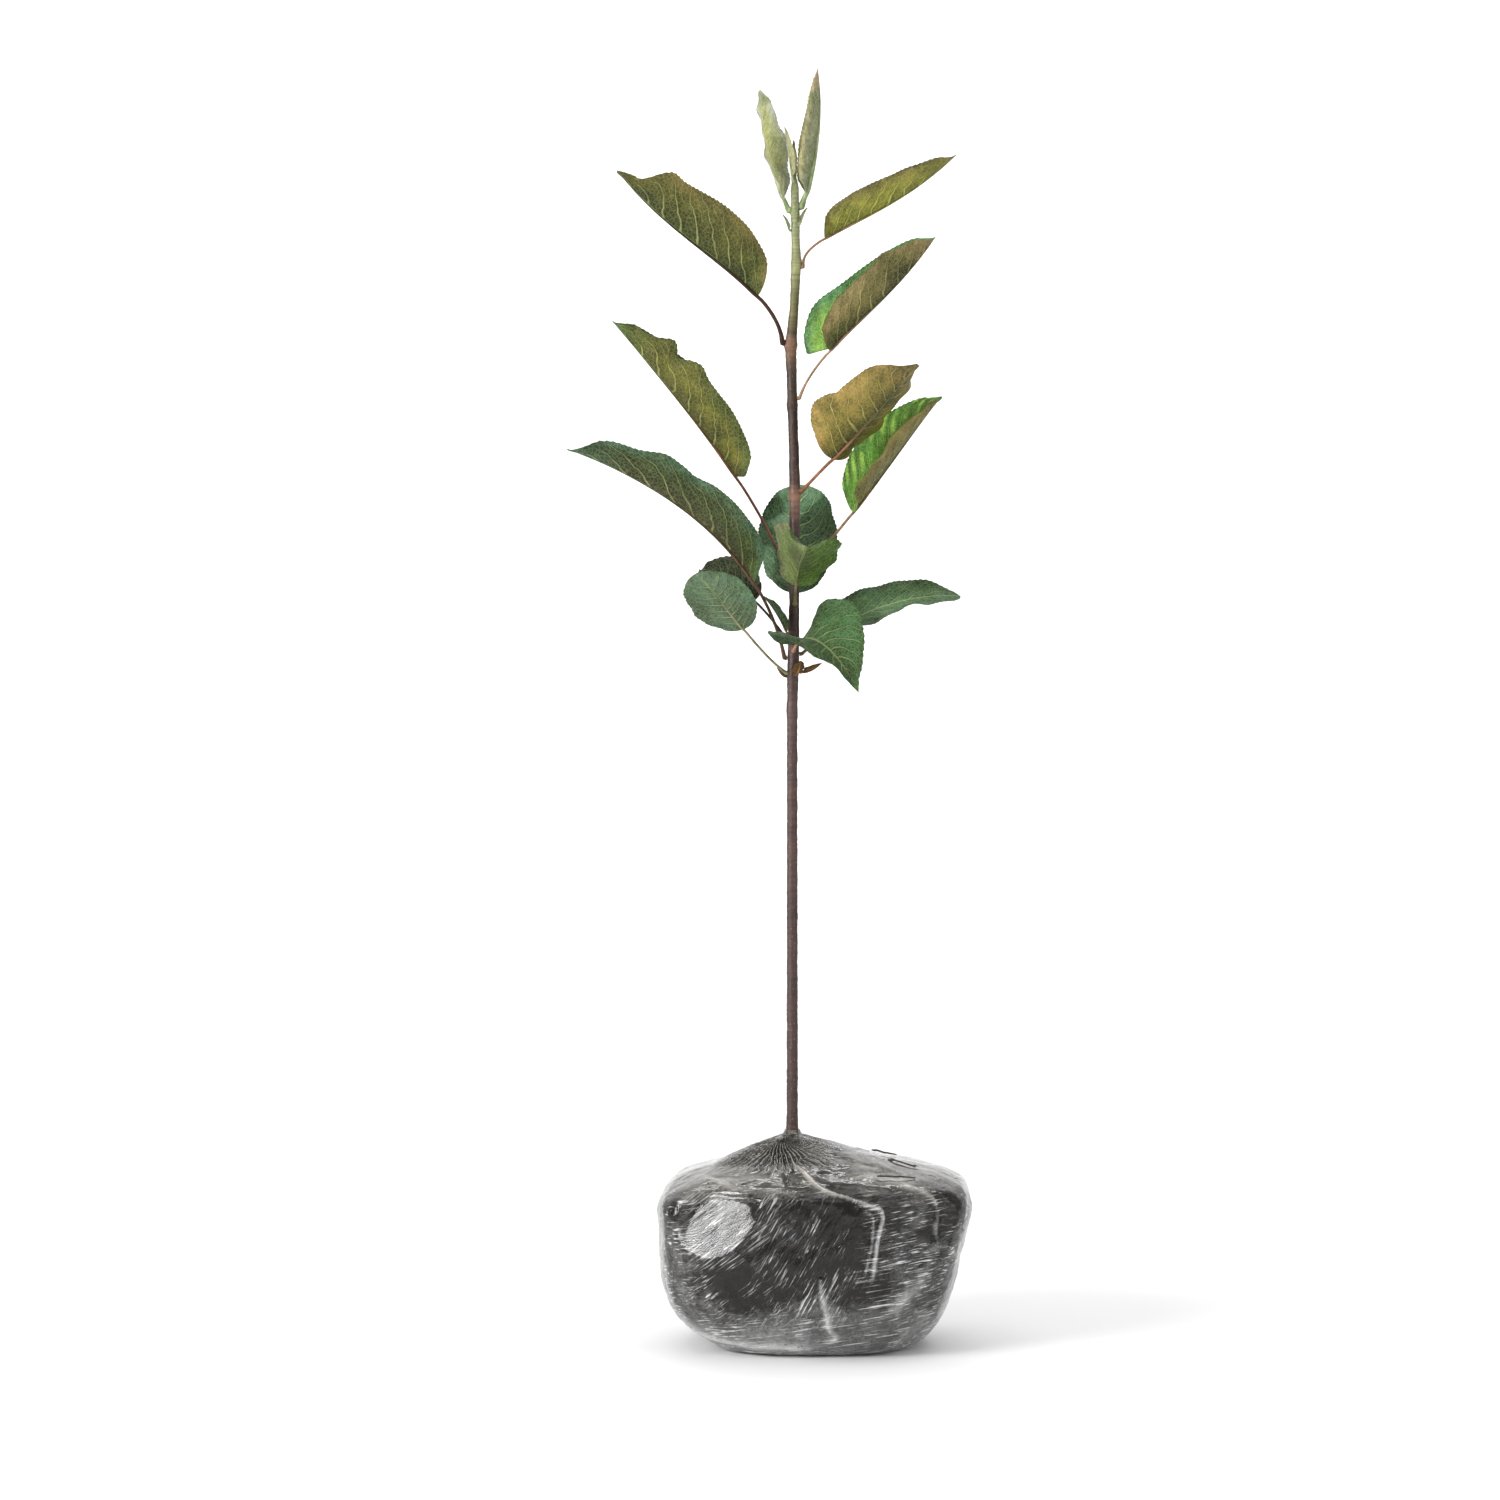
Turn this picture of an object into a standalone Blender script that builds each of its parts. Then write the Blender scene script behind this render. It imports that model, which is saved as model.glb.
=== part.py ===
"""A young apple tree, one straight stem with a head of leaves, whose ball of soil is wrapped in clear stretch film.

The origin is on the ground, under the stem. +Z is up and -Y is the side that the front leaves face.
"""

import math

import bmesh
import bpy
from mathutils import Matrix, Vector
from mathutils.bvhtree import BVHTree

MM = 0.001
GAP = 0.3 * MM  # between two pieces that touch in the real thing

# Stem, from the bottom of the tap root to the growing point
STEM_FOOT_HEIGHT = 34 * MM
STEM_TOP_HEIGHT = 612 * MM
STEM_RADIUS = 3.0 * MM  # where it leaves the soil
STEM_TOP_RADIUS = 1.5 * MM
STEM_SIDES = 12
COLLAR_SWELL = 1.5  # root collar's radius over the stem's
ROOT_CROWN_HEIGHT = 62 * MM
# share of the free stem's length, sideways drift in mm, radius over STEM_RADIUS
STEM_STATIONS = (
    (0.00, -0.3, 1.00),
    (0.25, -0.4, 0.96),
    (0.45, -0.5, 0.93),
    (0.502, 0.1, 1.06),
    (0.56, 0.5, 0.92),
    (0.64, 0.7, 0.90),
    (0.682, 0.9, 1.00),
    (0.73, 0.3, 0.88),
    (0.78, -0.6, 0.86),
    (0.835, -1.3, 1.00),
    (0.875, 0.5, 0.80),
    (0.922, 1.6, 0.86),
    (0.955, 1.2, 0.72),
    (0.985, 0.9, 0.62),
    (1.00, 0.8, 0.34),
)

# Side roots
ROOT_COUNT = 5
ROOT_REACH = 48 * MM
ROOT_DROP = 22 * MM
ROOT_RADIUS = 2.0 * MM
ROOT_TIP_RADIUS = 0.7 * MM
ROOT_SIDES = 8

# Ball of soil in its film
BALL_WIDTH = 168 * MM
BALL_DEPTH = 150 * MM
BALL_HEIGHT = 112 * MM
BALL_DRIFT = 11 * MM  # the ball's middle lies this far to +X of the stem
BALL_SIDES = 36
FILM_WALL = 0.8 * MM  # all the turns of film together
FILM_COLLAR = 2.0 * MM  # height of the film drawn up round the stem
# height over BALL_HEIGHT, reach over the half width, drift over BALL_DRIFT, squareness
BALL_STATIONS = (
    (0.000, 0.560, 1.05, 2.2),
    (0.012, 0.640, 1.02, 2.2),
    (0.070, 0.760, 0.95, 2.3),
    (0.150, 0.850, 0.80, 2.4),
    (0.260, 0.920, 0.70, 2.5),
    (0.420, 0.965, 0.80, 2.6),
    (0.580, 0.992, 0.95, 2.7),
    (0.700, 1.000, 1.00, 2.7),
    (0.765, 0.955, 1.10, 2.6),
    (0.805, 0.860, 1.12, 2.5),
    (0.850, 0.670, 0.95, 2.3),
    (0.900, 0.450, 0.50, 2.1),
    (0.950, 0.240, 0.15, 2.0),
    (0.990, 0.100, 0.00, 2.0),
)

# Leaves. The blade is a loft along a bent midrib, thin, with a rib below it.
PETIOLE_RADIUS = 1.0 * MM
BLADE_THICKNESS = 0.8 * MM
LEAF_SCALE = 1.0  # of every blade and petiole
BLADE_STATIONS = (0.0, 0.05, 0.14, 0.27, 0.41, 0.55, 0.69, 0.82, 0.93, 1.0)
PETIOLE_STEPS = 4
BLADE_ROUNDNESS = 0.5  # lower makes the base of the blade rounder
TIP_HALF_WIDTH = 0.45 * MM

# One dictionary for each leaf. foot is the share of the free stem at which it grows, and
# around its direction in degrees, from +X towards +Y. reach is from foot to tip in mm. The two
# bends are (along, lift, side) shares of that reach. blade is the share of the midrib at which the
# blade starts. rises are the angles of the left and right half blades above the flat, seen
# looking out along the leaf. A higher taper makes the tip finer.
LEAVES = {
    "leaf_young_left": dict(
        foot=0.976, around=172, reach=(-15, -3, 63.5), bends=((0.3, -0.05, 0), (0.7, -0.08, 0)),
        blade=0.12, half_width=11.2, rises=(-8, 72), petiole=0.8, taper=0.8,
    ),
    "leaf_young_right": dict(
        foot=0.980, around=8, reach=(8.5, 1, 73), bends=((0.3, -0.06, 0), (0.7, -0.08, 0)),
        blade=0.10, half_width=10.5, rises=(52, 56), petiole=0.8, taper=0.8,
    ),
    "leaf_upper_right": dict(
        foot=0.918, around=345, reach=(80, -12, 58), bends=((0.08, 0.16, 0), (0.50, -0.08, 0)),
        blade=0.33, half_width=17, rises=(66, 52), petiole=0.8, taper=0.7,
    ),
    "leaf_upper_left": dict(
        foot=0.838, around=188, reach=(-86.5, -8, 90), bends=((0.20, 0.16, 0), (0.62, -0.05, 0)),
        blade=0.28, half_width=26, rises=(76, 46), petiole=1.2, taper=0.62,
    ),
    "leaf_second_right": dict(
        foot=0.780, around=350, reach=(71, -14, 84), bends=((0.25, 0.10, 0), (0.62, -0.05, 0)),
        blade=0.31, half_width=21, rises=(84, 48), petiole=0.8, taper=0.62,
    ),
    "leaf_middle_left": dict(
        foot=0.596, around=160, reach=(-91.5, -18, 132), bends=((0.30, 0.08, 0.04), (0.60, 0.04, 0.02)),
        blade=0.38, half_width=23, rises=(50, 62), petiole=0.9, taper=0.62,
    ),
    "leaf_third_right": dict(
        foot=0.682, around=325, reach=(59, -38, 66), bends=((0.30, 0.0, 0), (0.65, -0.05, 0)),
        blade=0.28, half_width=28, rises=(16, 38), petiole=1.0, taper=0.62,
    ),
    "leaf_fourth_right": dict(
        foot=0.596, around=25, reach=(74, 2, 93), bends=((0.32, -0.03, 0), (0.66, 0.0, 0)),
        blade=0.36, half_width=22, rises=(66, 22), petiole=0.9, taper=0.7,
    ),
    "leaf_lower_left": dict(
        foot=0.506, around=186, reach=(-114, -18, 110), bends=((0.20, 0.14, 0), (0.52, 0.21, 0)),
        blade=0.34, half_width=24, rises=(54, 58), petiole=1.0, taper=0.7,
    ),
    "leaf_back": dict(
        foot=0.552, around=80, reach=(3, 54, 68.5), bends=((0.2, 0.04, 0), (0.65, -0.02, 0)),
        blade=0.2, half_width=22, rises=(14, 14), petiole=0.9, taper=0.5,
    ),
    "leaf_back_left": dict(
        foot=0.524, around=140, reach=(-47, 30, 36), bends=((0.3, 0.10, 0), (0.65, 0.16, 0)),
        blade=0.45, half_width=15, rises=(20, 75), petiole=0.8, taper=0.7,
    ),
    "leaf_front": dict(
        foot=0.563, around=276, reach=(5.5, -51, 31), bends=((0.14, 0.20, 0), (0.55, 0.12, 0)),
        blade=0.24, half_width=24, rises=(22, 60), petiole=0.8, taper=0.5,
    ),
    "leaf_low_left": dict(
        foot=0.490, around=215, reach=(-47, -26, 53), bends=((0.3, -0.06, 0), (0.7, 0.02, 0)),
        blade=0.46, half_width=20, rises=(25, -25), petiole=0.8, taper=0.5,
    ),
    "leaf_low_front": dict(
        foot=0.512, around=268, reach=(34, -36, -20), bends=((0.02, 0.30, 0), (0.50, 0.30, 0)),
        blade=0.14, half_width=28, rises=(46, 10), petiole=0.9, taper=0.95,
    ),
    "leaf_low_right": dict(
        foot=0.510, around=5, reach=(84.5, 12, 30), bends=((0.25, 0.10, 0), (0.65, 0.16, 0)),
        blade=0.16, half_width=17, rises=(44, -14), petiole=0.8, taper=0.6,
    ),
    "tip_leaflet_front": dict(
        foot=0.992, around=250, reach=(-4.5, -3.5, 36), bends=((0.3, 0.02, 0), (0.7, 0, 0)),
        blade=0.1, half_width=2.8, rises=(50, 50), petiole=0.6, taper=0.8,
    ),
    "tip_leaflet_back": dict(
        foot=0.992, around=92, reach=(-0.5, 4, 30), bends=((0.3, 0.02, 0), (0.7, 0, 0)),
        blade=0.1, half_width=2.6, rises=(50, 50), petiole=0.6, taper=0.8,
    ),
    "stipule_left": dict(
        foot=0.955, around=200, reach=(-4.0, -2, 9), bends=((0.3, 0.05, 0), (0.7, 0.05, 0)),
        blade=0.05, half_width=1.6, rises=(30, 30), petiole=0.5, taper=0.8,
    ),
    "stipule_right": dict(
        foot=0.962, around=318, reach=(4.2, -3, 9), bends=((0.3, 0.05, 0), (0.7, 0.05, 0)),
        blade=0.05, half_width=1.6, rises=(30, 30), petiole=0.5, taper=0.8,
    ),
    "stipule_low": dict(
        foot=0.520, around=250, reach=(-15, -8, 26), bends=((0.3, 0.10, 0), (0.7, 0.08, 0)),
        blade=0.22, half_width=4.8, rises=(24, 40), petiole=0.7, taper=0.7,
    ),
    "bud_scale_right": dict(
        foot=0.491, around=350, reach=(11, -2, 5), bends=((0.3, -0.12, 0), (0.7, -0.14, 0)),
        blade=0.05, half_width=4.4, rises=(30, 30), petiole=0.8, taper=0.8,
    ),
    "bud_scale_front": dict(
        foot=0.488, around=292, reach=(2.5, -8, 8), bends=((0.3, -0.12, 0), (0.7, -0.14, 0)),
        blade=0.05, half_width=4.0, rises=(30, 30), petiole=0.8, taper=0.8,
    ),
    "bud_scale_left": dict(
        foot=0.486, around=160, reach=(-5.0, 2.5, 7), bends=((0.3, -0.12, 0), (0.7, -0.14, 0)),
        blade=0.05, half_width=2.4, rises=(30, 30), petiole=0.7, taper=0.8,
    ),
}

# Fine roots and straws that cling to the film, each from (x, y) to (x, y) in mm from the stem
STRAWS = {
    "straw_front": ((44, -47), (63, -41)),
    "straw_middle": ((50, -12), (66, -16)),
    "straw_back": ((42, 8), (55, 14)),
}
STRAW_RADIUS = 0.45 * MM
STRAW_STEPS = 7
STRAW_SIDES = 6

# colour, roughness
FINISHES = {
    "bark": ((0.085, 0.045, 0.036), 0.55),
    "soil": ((0.022, 0.018, 0.014), 0.95),
    "film": ((0.55, 0.56, 0.56), 0.18),
    "leaf": ((0.10, 0.19, 0.045), 0.45),
    "young_leaf": ((0.34, 0.43, 0.16), 0.60),
    "bud_scale": ((0.20, 0.09, 0.04), 0.70),
    "straw": ((0.05, 0.04, 0.03), 0.80),
}


def clear_scene():
    for obj in list(bpy.data.objects):
        bpy.data.objects.remove(obj, do_unlink=True)


def finish_of(name):
    material = bpy.data.materials.get(name)
    if material is None:
        colour, roughness = FINISHES[name]
        material = bpy.data.materials.new(name)
        material.use_nodes = True
        shader = material.node_tree.nodes["Principled BSDF"]
        shader.inputs["Base Color"].default_value = (*colour, 1)
        shader.inputs["Roughness"].default_value = roughness
        shader.inputs["Metallic"].default_value = 0
        if name == "film":
            shader.inputs["Alpha"].default_value = 0.4
    return material


def add_object(name, bm, finish, origin=Vector()):
    """One object from a bmesh, with its faces turned out and its round sides smooth."""
    bmesh.ops.recalc_face_normals(bm, faces=bm.faces)
    mesh = bpy.data.meshes.new(name)
    bm.to_mesh(mesh)
    bm.free()
    mesh.transform(Matrix.Translation(-origin))
    mesh.shade_smooth()
    mesh.set_sharp_from_angle(angle=math.radians(40))
    mesh.materials.append(finish_of(finish))
    obj = bpy.data.objects.new(name, mesh)
    obj.location = origin
    bpy.context.scene.collection.objects.link(obj)
    return obj


def make_helper(obj):
    """A cutter or a guide, which isn't a piece of the tree."""
    obj.hide_render = True
    obj.display_type = "WIRE"
    return obj


def loft(rings, close_start=True, close_end=True):
    """A skin over rings that all have the same number of points."""
    bm = bmesh.new()
    rows = [[bm.verts.new(point) for point in ring] for ring in rings]
    count = len(rows[0])
    for lower, upper in zip(rows, rows[1:]):
        for i in range(count):
            j = (i + 1) % count
            bm.faces.new((lower[i], lower[j], upper[j], upper[i]))
    if close_start:
        bm.faces.new(rows[0])
    if close_end:
        bm.faces.new(rows[-1])
    return bm


def bezier(points, t):
    a, b, c, d = points
    s = 1 - t
    return a * s**3 + b * (3 * s * s * t) + c * (3 * s * t * t) + d * t**3


def bezier_direction(points, t):
    a, b, c, d = points
    s = 1 - t
    return ((b - a) * (s * s) + (c - b) * (2 * s * t) + (d - c) * (t * t)).normalized()


def stem_height(share):
    """Height at a share of the free stem, from the top of the soil to the growing point."""
    return BALL_HEIGHT + (STEM_TOP_HEIGHT - BALL_HEIGHT) * share


def stem_at(share):
    """Centre and radius of the stem there."""
    for (a, drift_a, radius_a), (b, drift_b, radius_b) in zip(STEM_STATIONS, STEM_STATIONS[1:]):
        if share <= b:
            break
    t = min(1.0, max(0.0, (share - a) / (b - a)))
    drift = drift_a + (drift_b - drift_a) * t
    radius = radius_a + (radius_b - radius_a) * t
    return Vector((drift * MM, 0, stem_height(share))), radius * STEM_RADIUS


def circle(centre, radius, sides, side, up):
    turn = 2 * math.pi / sides
    return [
        centre + side * (radius * math.cos(i * turn)) + up * (radius * math.sin(i * turn))
        for i in range(sides)
    ]


def stem_rings(grow):
    """Rings up the stem, each wider by grow, with the tap root and the root collar below."""
    x, y = Vector((1, 0, 0)), Vector((0, 1, 0))
    first = stem_at(0)[0]
    below = (
        (STEM_FOOT_HEIGHT - grow, 0.35),
        (STEM_FOOT_HEIGHT + 0.4 * (ROOT_CROWN_HEIGHT - STEM_FOOT_HEIGHT), 0.8),
        (ROOT_CROWN_HEIGHT, COLLAR_SWELL),
        (0.5 * (ROOT_CROWN_HEIGHT + BALL_HEIGHT), 1.12),
    )
    rings = [
        circle(Vector((first.x, 0, z)), share * STEM_RADIUS + grow, STEM_SIDES, x, y)
        for z, share in below
    ]
    for share, _, _ in STEM_STATIONS:
        centre, radius = stem_at(share)
        rings.append(circle(centre, radius + grow, STEM_SIDES, x, y))
    return rings


def root_rings(index, grow):
    """One side root, from inside the collar out and down into the soil."""
    around = math.radians(20) + index * 2 * math.pi / ROOT_COUNT
    out = Vector((math.cos(around), math.sin(around), 0))
    start = Vector((stem_at(0)[0].x, 0, ROOT_CROWN_HEIGHT))
    end = start + out * ROOT_REACH - Vector((0, 0, ROOT_DROP * (1 if index % 2 else 0.6)))
    route = (start, start + out * (0.45 * ROOT_REACH), end - out * (0.35 * ROOT_REACH), end)
    rings = []
    steps = 6
    for i in range(steps + 1):
        t = i / steps
        along = bezier_direction(route, t)
        side = along.cross(Vector((0, 0, 1))).normalized()
        radius = ROOT_RADIUS + (ROOT_TIP_RADIUS - ROOT_RADIUS) * t + grow
        centre = bezier(route, t) + (along * grow if i == steps else Vector())
        rings.append(circle(centre, radius, ROOT_SIDES, side, along.cross(side)))
    return rings


def make_stem():
    stem = add_object("stem_and_roots", loft(stem_rings(0)), "bark")
    for i in range(ROOT_COUNT):
        root = make_helper(add_object(f"root_form_{i + 1}", loft(root_rings(i, 0)), "bark"))
        join = stem.modifiers.new(f"root_{i + 1}", "BOOLEAN")
        join.operation = "UNION"
        join.object = root
    return stem


def ball_lump(angle):
    """How far the ball stands out or in, so that it isn't a regular shape."""
    return 1 + 0.020 * math.cos(4 * (angle - 0.7)) + 0.012 * math.cos(3 * angle + 0.4)


def ball_ring(height, reach, drift, squareness):
    ring = []
    for i in range(BALL_SIDES):
        angle = 2 * math.pi * i / BALL_SIDES
        c, s = math.cos(angle), math.sin(angle)
        power = 2 / squareness
        lump = ball_lump(angle)
        x = math.copysign(abs(c) ** power, c) * 0.5 * BALL_WIDTH * reach * lump
        y = math.copysign(abs(s) ** power, s) * 0.5 * BALL_DEPTH * reach * lump
        ring.append(Vector((x + drift * BALL_DRIFT, y, height * BALL_HEIGHT)))
    return ring


def ball_rings():
    return [ball_ring(*station) for station in BALL_STATIONS]


def neck_radius():
    """Outer radius of the film where it is drawn up round the stem."""
    return STEM_RADIUS + GAP + FILM_WALL


def make_film():
    neck = stem_at(0)[0]
    x, y = Vector((1, 0, 0)), Vector((0, 1, 0))
    rings = ball_rings()
    rings.append(circle(neck, neck_radius() + 0.8 * MM, BALL_SIDES, x, y))
    top = neck + Vector((0, 0, FILM_COLLAR))
    rings.append(circle(top, neck_radius(), BALL_SIDES, x, y))
    film = add_object("film_wrap", loft(rings, close_end=False), "film")
    wall = film.modifiers.new("wall", "SOLIDIFY")
    wall.thickness = FILM_WALL
    wall.offset = -1
    wall.use_even_offset = True
    return film


def make_soil():
    bm = loft(ball_rings())
    bmesh.ops.recalc_face_normals(bm, faces=bm.faces)
    bm.normal_update()
    depth = FILM_WALL + 2 * GAP
    moved = [v.co - v.normal * (depth * v.calc_shell_factor()) for v in bm.verts]
    for v, co in zip(bm.verts, moved):
        v.co = co
    soil = add_object("soil_ball", bm, "soil")
    cutters = [add_object("stem_hole", loft(stem_rings(GAP)), "soil")]
    for i in range(ROOT_COUNT):
        cutters.append(add_object(f"root_hole_{i + 1}", loft(root_rings(i, GAP)), "soil"))
    for cutter in cutters:
        cut = soil.modifiers.new(cutter.name, "BOOLEAN")
        cut.operation = "DIFFERENCE"
        cut.object = make_helper(cutter)
    return soil


def make_straws():
    """Thin rods that follow the top of the film, just clear of it."""
    ball = loft(ball_rings())
    ball.normal_update()
    surface = BVHTree.FromBMesh(ball)
    down = Vector((0, 0, -1))
    lift = STRAW_RADIUS + GAP
    for name, ends in STRAWS.items():
        start, end = (Vector((*point, 0)) * MM for point in ends)
        points = []
        for i in range(STRAW_STEPS + 1):
            spot = start.lerp(end, i / STRAW_STEPS)
            hit, normal, _, _ = surface.ray_cast(spot + Vector((0, 0, 1)), down)
            normal = normal if normal.z > 0 else -normal
            points.append(hit + normal * (1.6 * lift))
        along = (points[-1] - points[0]).normalized()
        side = along.cross(Vector((0, 0, 1))).normalized()
        rings = [circle(p, STRAW_RADIUS, STRAW_SIDES, side, along.cross(side)) for p in points]
        add_object(name, loft(rings), "straw")


def leaf_route(leaf):
    """The four points of the midrib's curve, from the foot on the stem to the tip."""
    centre, radius = stem_at(leaf["foot"])
    around = math.radians(leaf["around"])
    out = Vector((math.cos(around), math.sin(around), 0))
    foot = centre + out * (radius + leaf["petiole"] * PETIOLE_RADIUS + 2 * GAP)
    reach = Vector(leaf["reach"]) * (MM * LEAF_SCALE)
    along = reach.normalized()
    side = along.cross(Vector((0, 0, 1))).normalized()
    lift = side.cross(along)
    size = reach.length
    handles = [foot + (along * a + lift * b + side * c) * size for a, b, c in leaf["bends"]]
    return (foot, *handles, foot + reach)


def blade_width(share, taper):
    """Width of the blade over its greatest, at a share of its length."""
    if share <= 0 or share >= 1:
        return 0.0
    peak = BLADE_ROUNDNESS / (BLADE_ROUNDNESS + taper)
    return (share / peak) ** BLADE_ROUNDNESS * ((1 - share) / (1 - peak)) ** taper


def leaf_frame(route, t, flat_side):
    """The midrib's point there, with the directions to the leaf's right and up."""
    along = bezier_direction(route, t)
    up = flat_side.cross(along).normalized()
    return bezier(route, t), along.cross(up), up


def leaf_rings(leaf):
    """Ten points round the stalk, which spread out to the two faces of the blade."""
    route = leaf_route(leaf)
    flat_side = (route[3] - route[0]).cross(Vector((0, 0, 1))).normalized()
    stalk = leaf["petiole"] * PETIOLE_RADIUS
    start = leaf["blade"]
    rings = []
    for i in range(PETIOLE_STEPS):
        centre, side, up = leaf_frame(route, start * i / PETIOLE_STEPS, flat_side)
        angles = [math.radians(a) for a in (162, 126, 90, 54, 18, -18, -54, -90, -126, -162)]
        rings.append([centre + (side * math.cos(a) + up * math.sin(a)) * stalk for a in angles])
    left_rise, right_rise = (math.radians(a) for a in leaf["rises"])
    fold, roll = (left_rise + right_rise) / 2, (left_rise - right_rise) / 2
    for share in BLADE_STATIONS:
        centre, side, up = leaf_frame(route, start + (1 - start) * share, flat_side)
        opened = fold * min(1.0, share / 0.12 + 0.15, (1 - share) / 0.08)
        left = opened + roll
        right = opened - roll
        half = max(TIP_HALF_WIDTH, 0.0 if share >= 1 else stalk * (1 - share))
        half = max(half, leaf["half_width"] * MM * LEAF_SCALE * blade_width(share, leaf["taper"]))
        thick = 0.5 * min(BLADE_THICKNESS, 1.2 * stalk) * (1 - 0.35 * share)
        rib = 1.5 * stalk * (1 - share) ** 0.8
        left_out = up * math.sin(left) - side * math.cos(left)
        left_face = up * math.cos(left) + side * math.sin(left)
        right_out = up * math.sin(right) + side * math.cos(right)
        right_face = up * math.cos(right) - side * math.sin(right)
        middle = (left_face + right_face).normalized()
        top = [
            centre + left_out * half + left_face * thick,
            centre + left_out * (0.5 * half) + left_face * thick,
            centre + middle * thick,
            centre + right_out * (0.5 * half) + right_face * thick,
            centre + right_out * half + right_face * thick,
        ]
        bottom = [
            centre + right_out * half - right_face * thick,
            centre + right_out * (0.5 * half) - right_face * thick,
            centre - middle * (thick + rib),
            centre + left_out * (0.5 * half) - left_face * thick,
            centre + left_out * half - left_face * thick,
        ]
        rings.append(top + bottom)
    return rings


def finish_for(name):
    if name.startswith("bud_scale"):
        return "bud_scale"
    if name.startswith(("leaf_young", "tip_leaflet", "stipule")):
        return "young_leaf"
    return "leaf"


def make_leaves(stem):
    """Each leaf's origin is its foot, and the stem carries it."""
    for name, leaf in LEAVES.items():
        foot = leaf_route(leaf)[0]
        obj = add_object(name, loft(leaf_rings(leaf)), finish_for(name), foot)
        obj.parent = stem


clear_scene()
tree = make_stem()
make_leaves(tree)
make_soil()
make_film()
make_straws()
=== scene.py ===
import math

import bpy
import numpy as np
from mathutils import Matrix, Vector, noise


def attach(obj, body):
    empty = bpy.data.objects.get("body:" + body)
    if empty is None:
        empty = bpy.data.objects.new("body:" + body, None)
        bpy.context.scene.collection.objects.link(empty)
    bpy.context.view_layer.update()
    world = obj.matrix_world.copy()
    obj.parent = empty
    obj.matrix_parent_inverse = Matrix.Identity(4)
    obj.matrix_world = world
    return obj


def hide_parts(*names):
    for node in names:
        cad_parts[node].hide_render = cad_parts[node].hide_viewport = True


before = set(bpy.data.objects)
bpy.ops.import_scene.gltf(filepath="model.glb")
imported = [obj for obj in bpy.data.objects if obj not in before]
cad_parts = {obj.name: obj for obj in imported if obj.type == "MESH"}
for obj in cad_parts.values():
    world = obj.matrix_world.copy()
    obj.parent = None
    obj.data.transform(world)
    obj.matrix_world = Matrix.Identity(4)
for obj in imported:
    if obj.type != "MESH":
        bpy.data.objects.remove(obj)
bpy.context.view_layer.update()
scene = bpy.context.scene
mm = 0.001
print("frame loaded:", len(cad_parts), "nodes")


# small tools for points, shells and pieces

def nodePoints(name):
    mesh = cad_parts[name].data
    points = np.empty(len(mesh.vertices) * 3, dtype=np.float32)
    mesh.vertices.foreach_get("co", points)
    return points.reshape(-1, 3).astype(float)


def linear(rgb):
    share = np.asarray(rgb, float) / 255
    return np.where(share <= 0.04045, share / 12.92, ((share + 0.055) / 1.055) ** 2.4)


def smooth(low, high, x):
    t = np.clip((np.asarray(x, float) - low) / (high - low), 0, 1)
    return t * t * (3 - 2 * t)


def cloud(points, size, seed, octaves=3):
    shift = Vector((seed * 3.71, seed * 1.37, seed * 7.13))
    flat = np.asarray(points, float).reshape(-1, 3) / size
    found = [noise.fractal(Vector(p) + shift, 1.0, 2.0, octaves) for p in flat]
    return np.array(found).reshape(np.asarray(points).shape[:-1])


def unit(vectors):
    return vectors / np.maximum(np.linalg.norm(vectors, axis=-1, keepdims=True), 1e-12)


def gridFaces(rows, cols, around=True):
    r = np.arange(rows - 1)[:, None] * cols
    c = np.arange(cols if around else cols - 1)[None, :]
    nextC = (c + 1) % cols
    return np.stack([r + c, r + nextC, r + cols + nextC, r + cols + c], -1).reshape(-1, 4)


def shellOf(points, quads, triangles=(), **values):
    # one closed skin with its faces turned out, and a value of each kind at every point
    quads = np.asarray(quads, int).reshape(-1, 4)
    triangles = np.asarray(triangles, int).reshape(-1, 3)
    corners = np.concatenate([quads[:, [0, 1, 2]], quads[:, [0, 2, 3]], triangles])
    a, b, c = (points[corners[:, i]] for i in range(3))
    if np.einsum("ij,ij->i", a, np.cross(b, c)).sum() < 0:
        quads, triangles = quads[:, ::-1], triangles[:, ::-1]
    return {"points": points, "quads": quads, "triangles": triangles, "values": values}


def shellMesh(name, shells):
    points = np.concatenate([s["points"] for s in shells])
    starts = np.cumsum([0] + [len(s["points"]) for s in shells[:-1]])
    faces = []
    for start, shell in zip(starts, shells):
        faces += (shell["quads"] + start).tolist() + (shell["triangles"] + start).tolist()
    mesh = bpy.data.meshes.new(name)
    mesh.from_pydata(points.tolist(), [], faces)
    for kind in shells[0]["values"]:
        data = np.concatenate([s["values"][kind] for s in shells])
        if kind == "tint":
            data = np.concatenate([data, np.ones((len(data), 1))], axis=1)
            mesh.attributes.new(kind, "FLOAT_COLOR", "POINT").data.foreach_set("color", data.ravel())
        elif data.ndim == 2:
            mesh.attributes.new(kind, "FLOAT_VECTOR", "POINT").data.foreach_set("vector", data.ravel())
        else:
            mesh.attributes.new(kind, "FLOAT", "POINT").data.foreach_set("value", data)
    mesh.update()
    return mesh


def makePiece(name, shells, material, nodes=()):
    mesh = shellMesh(name, shells)
    mesh.shade_smooth()
    mesh.materials.append(material)
    return placePiece(name, mesh, nodes)


def placePiece(name, mesh, nodes=()):
    piece = bpy.data.objects.new(name, mesh)
    scene.collection.objects.link(piece)
    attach(piece, "root")
    if nodes:
        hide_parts(*nodes)
    return piece


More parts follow.
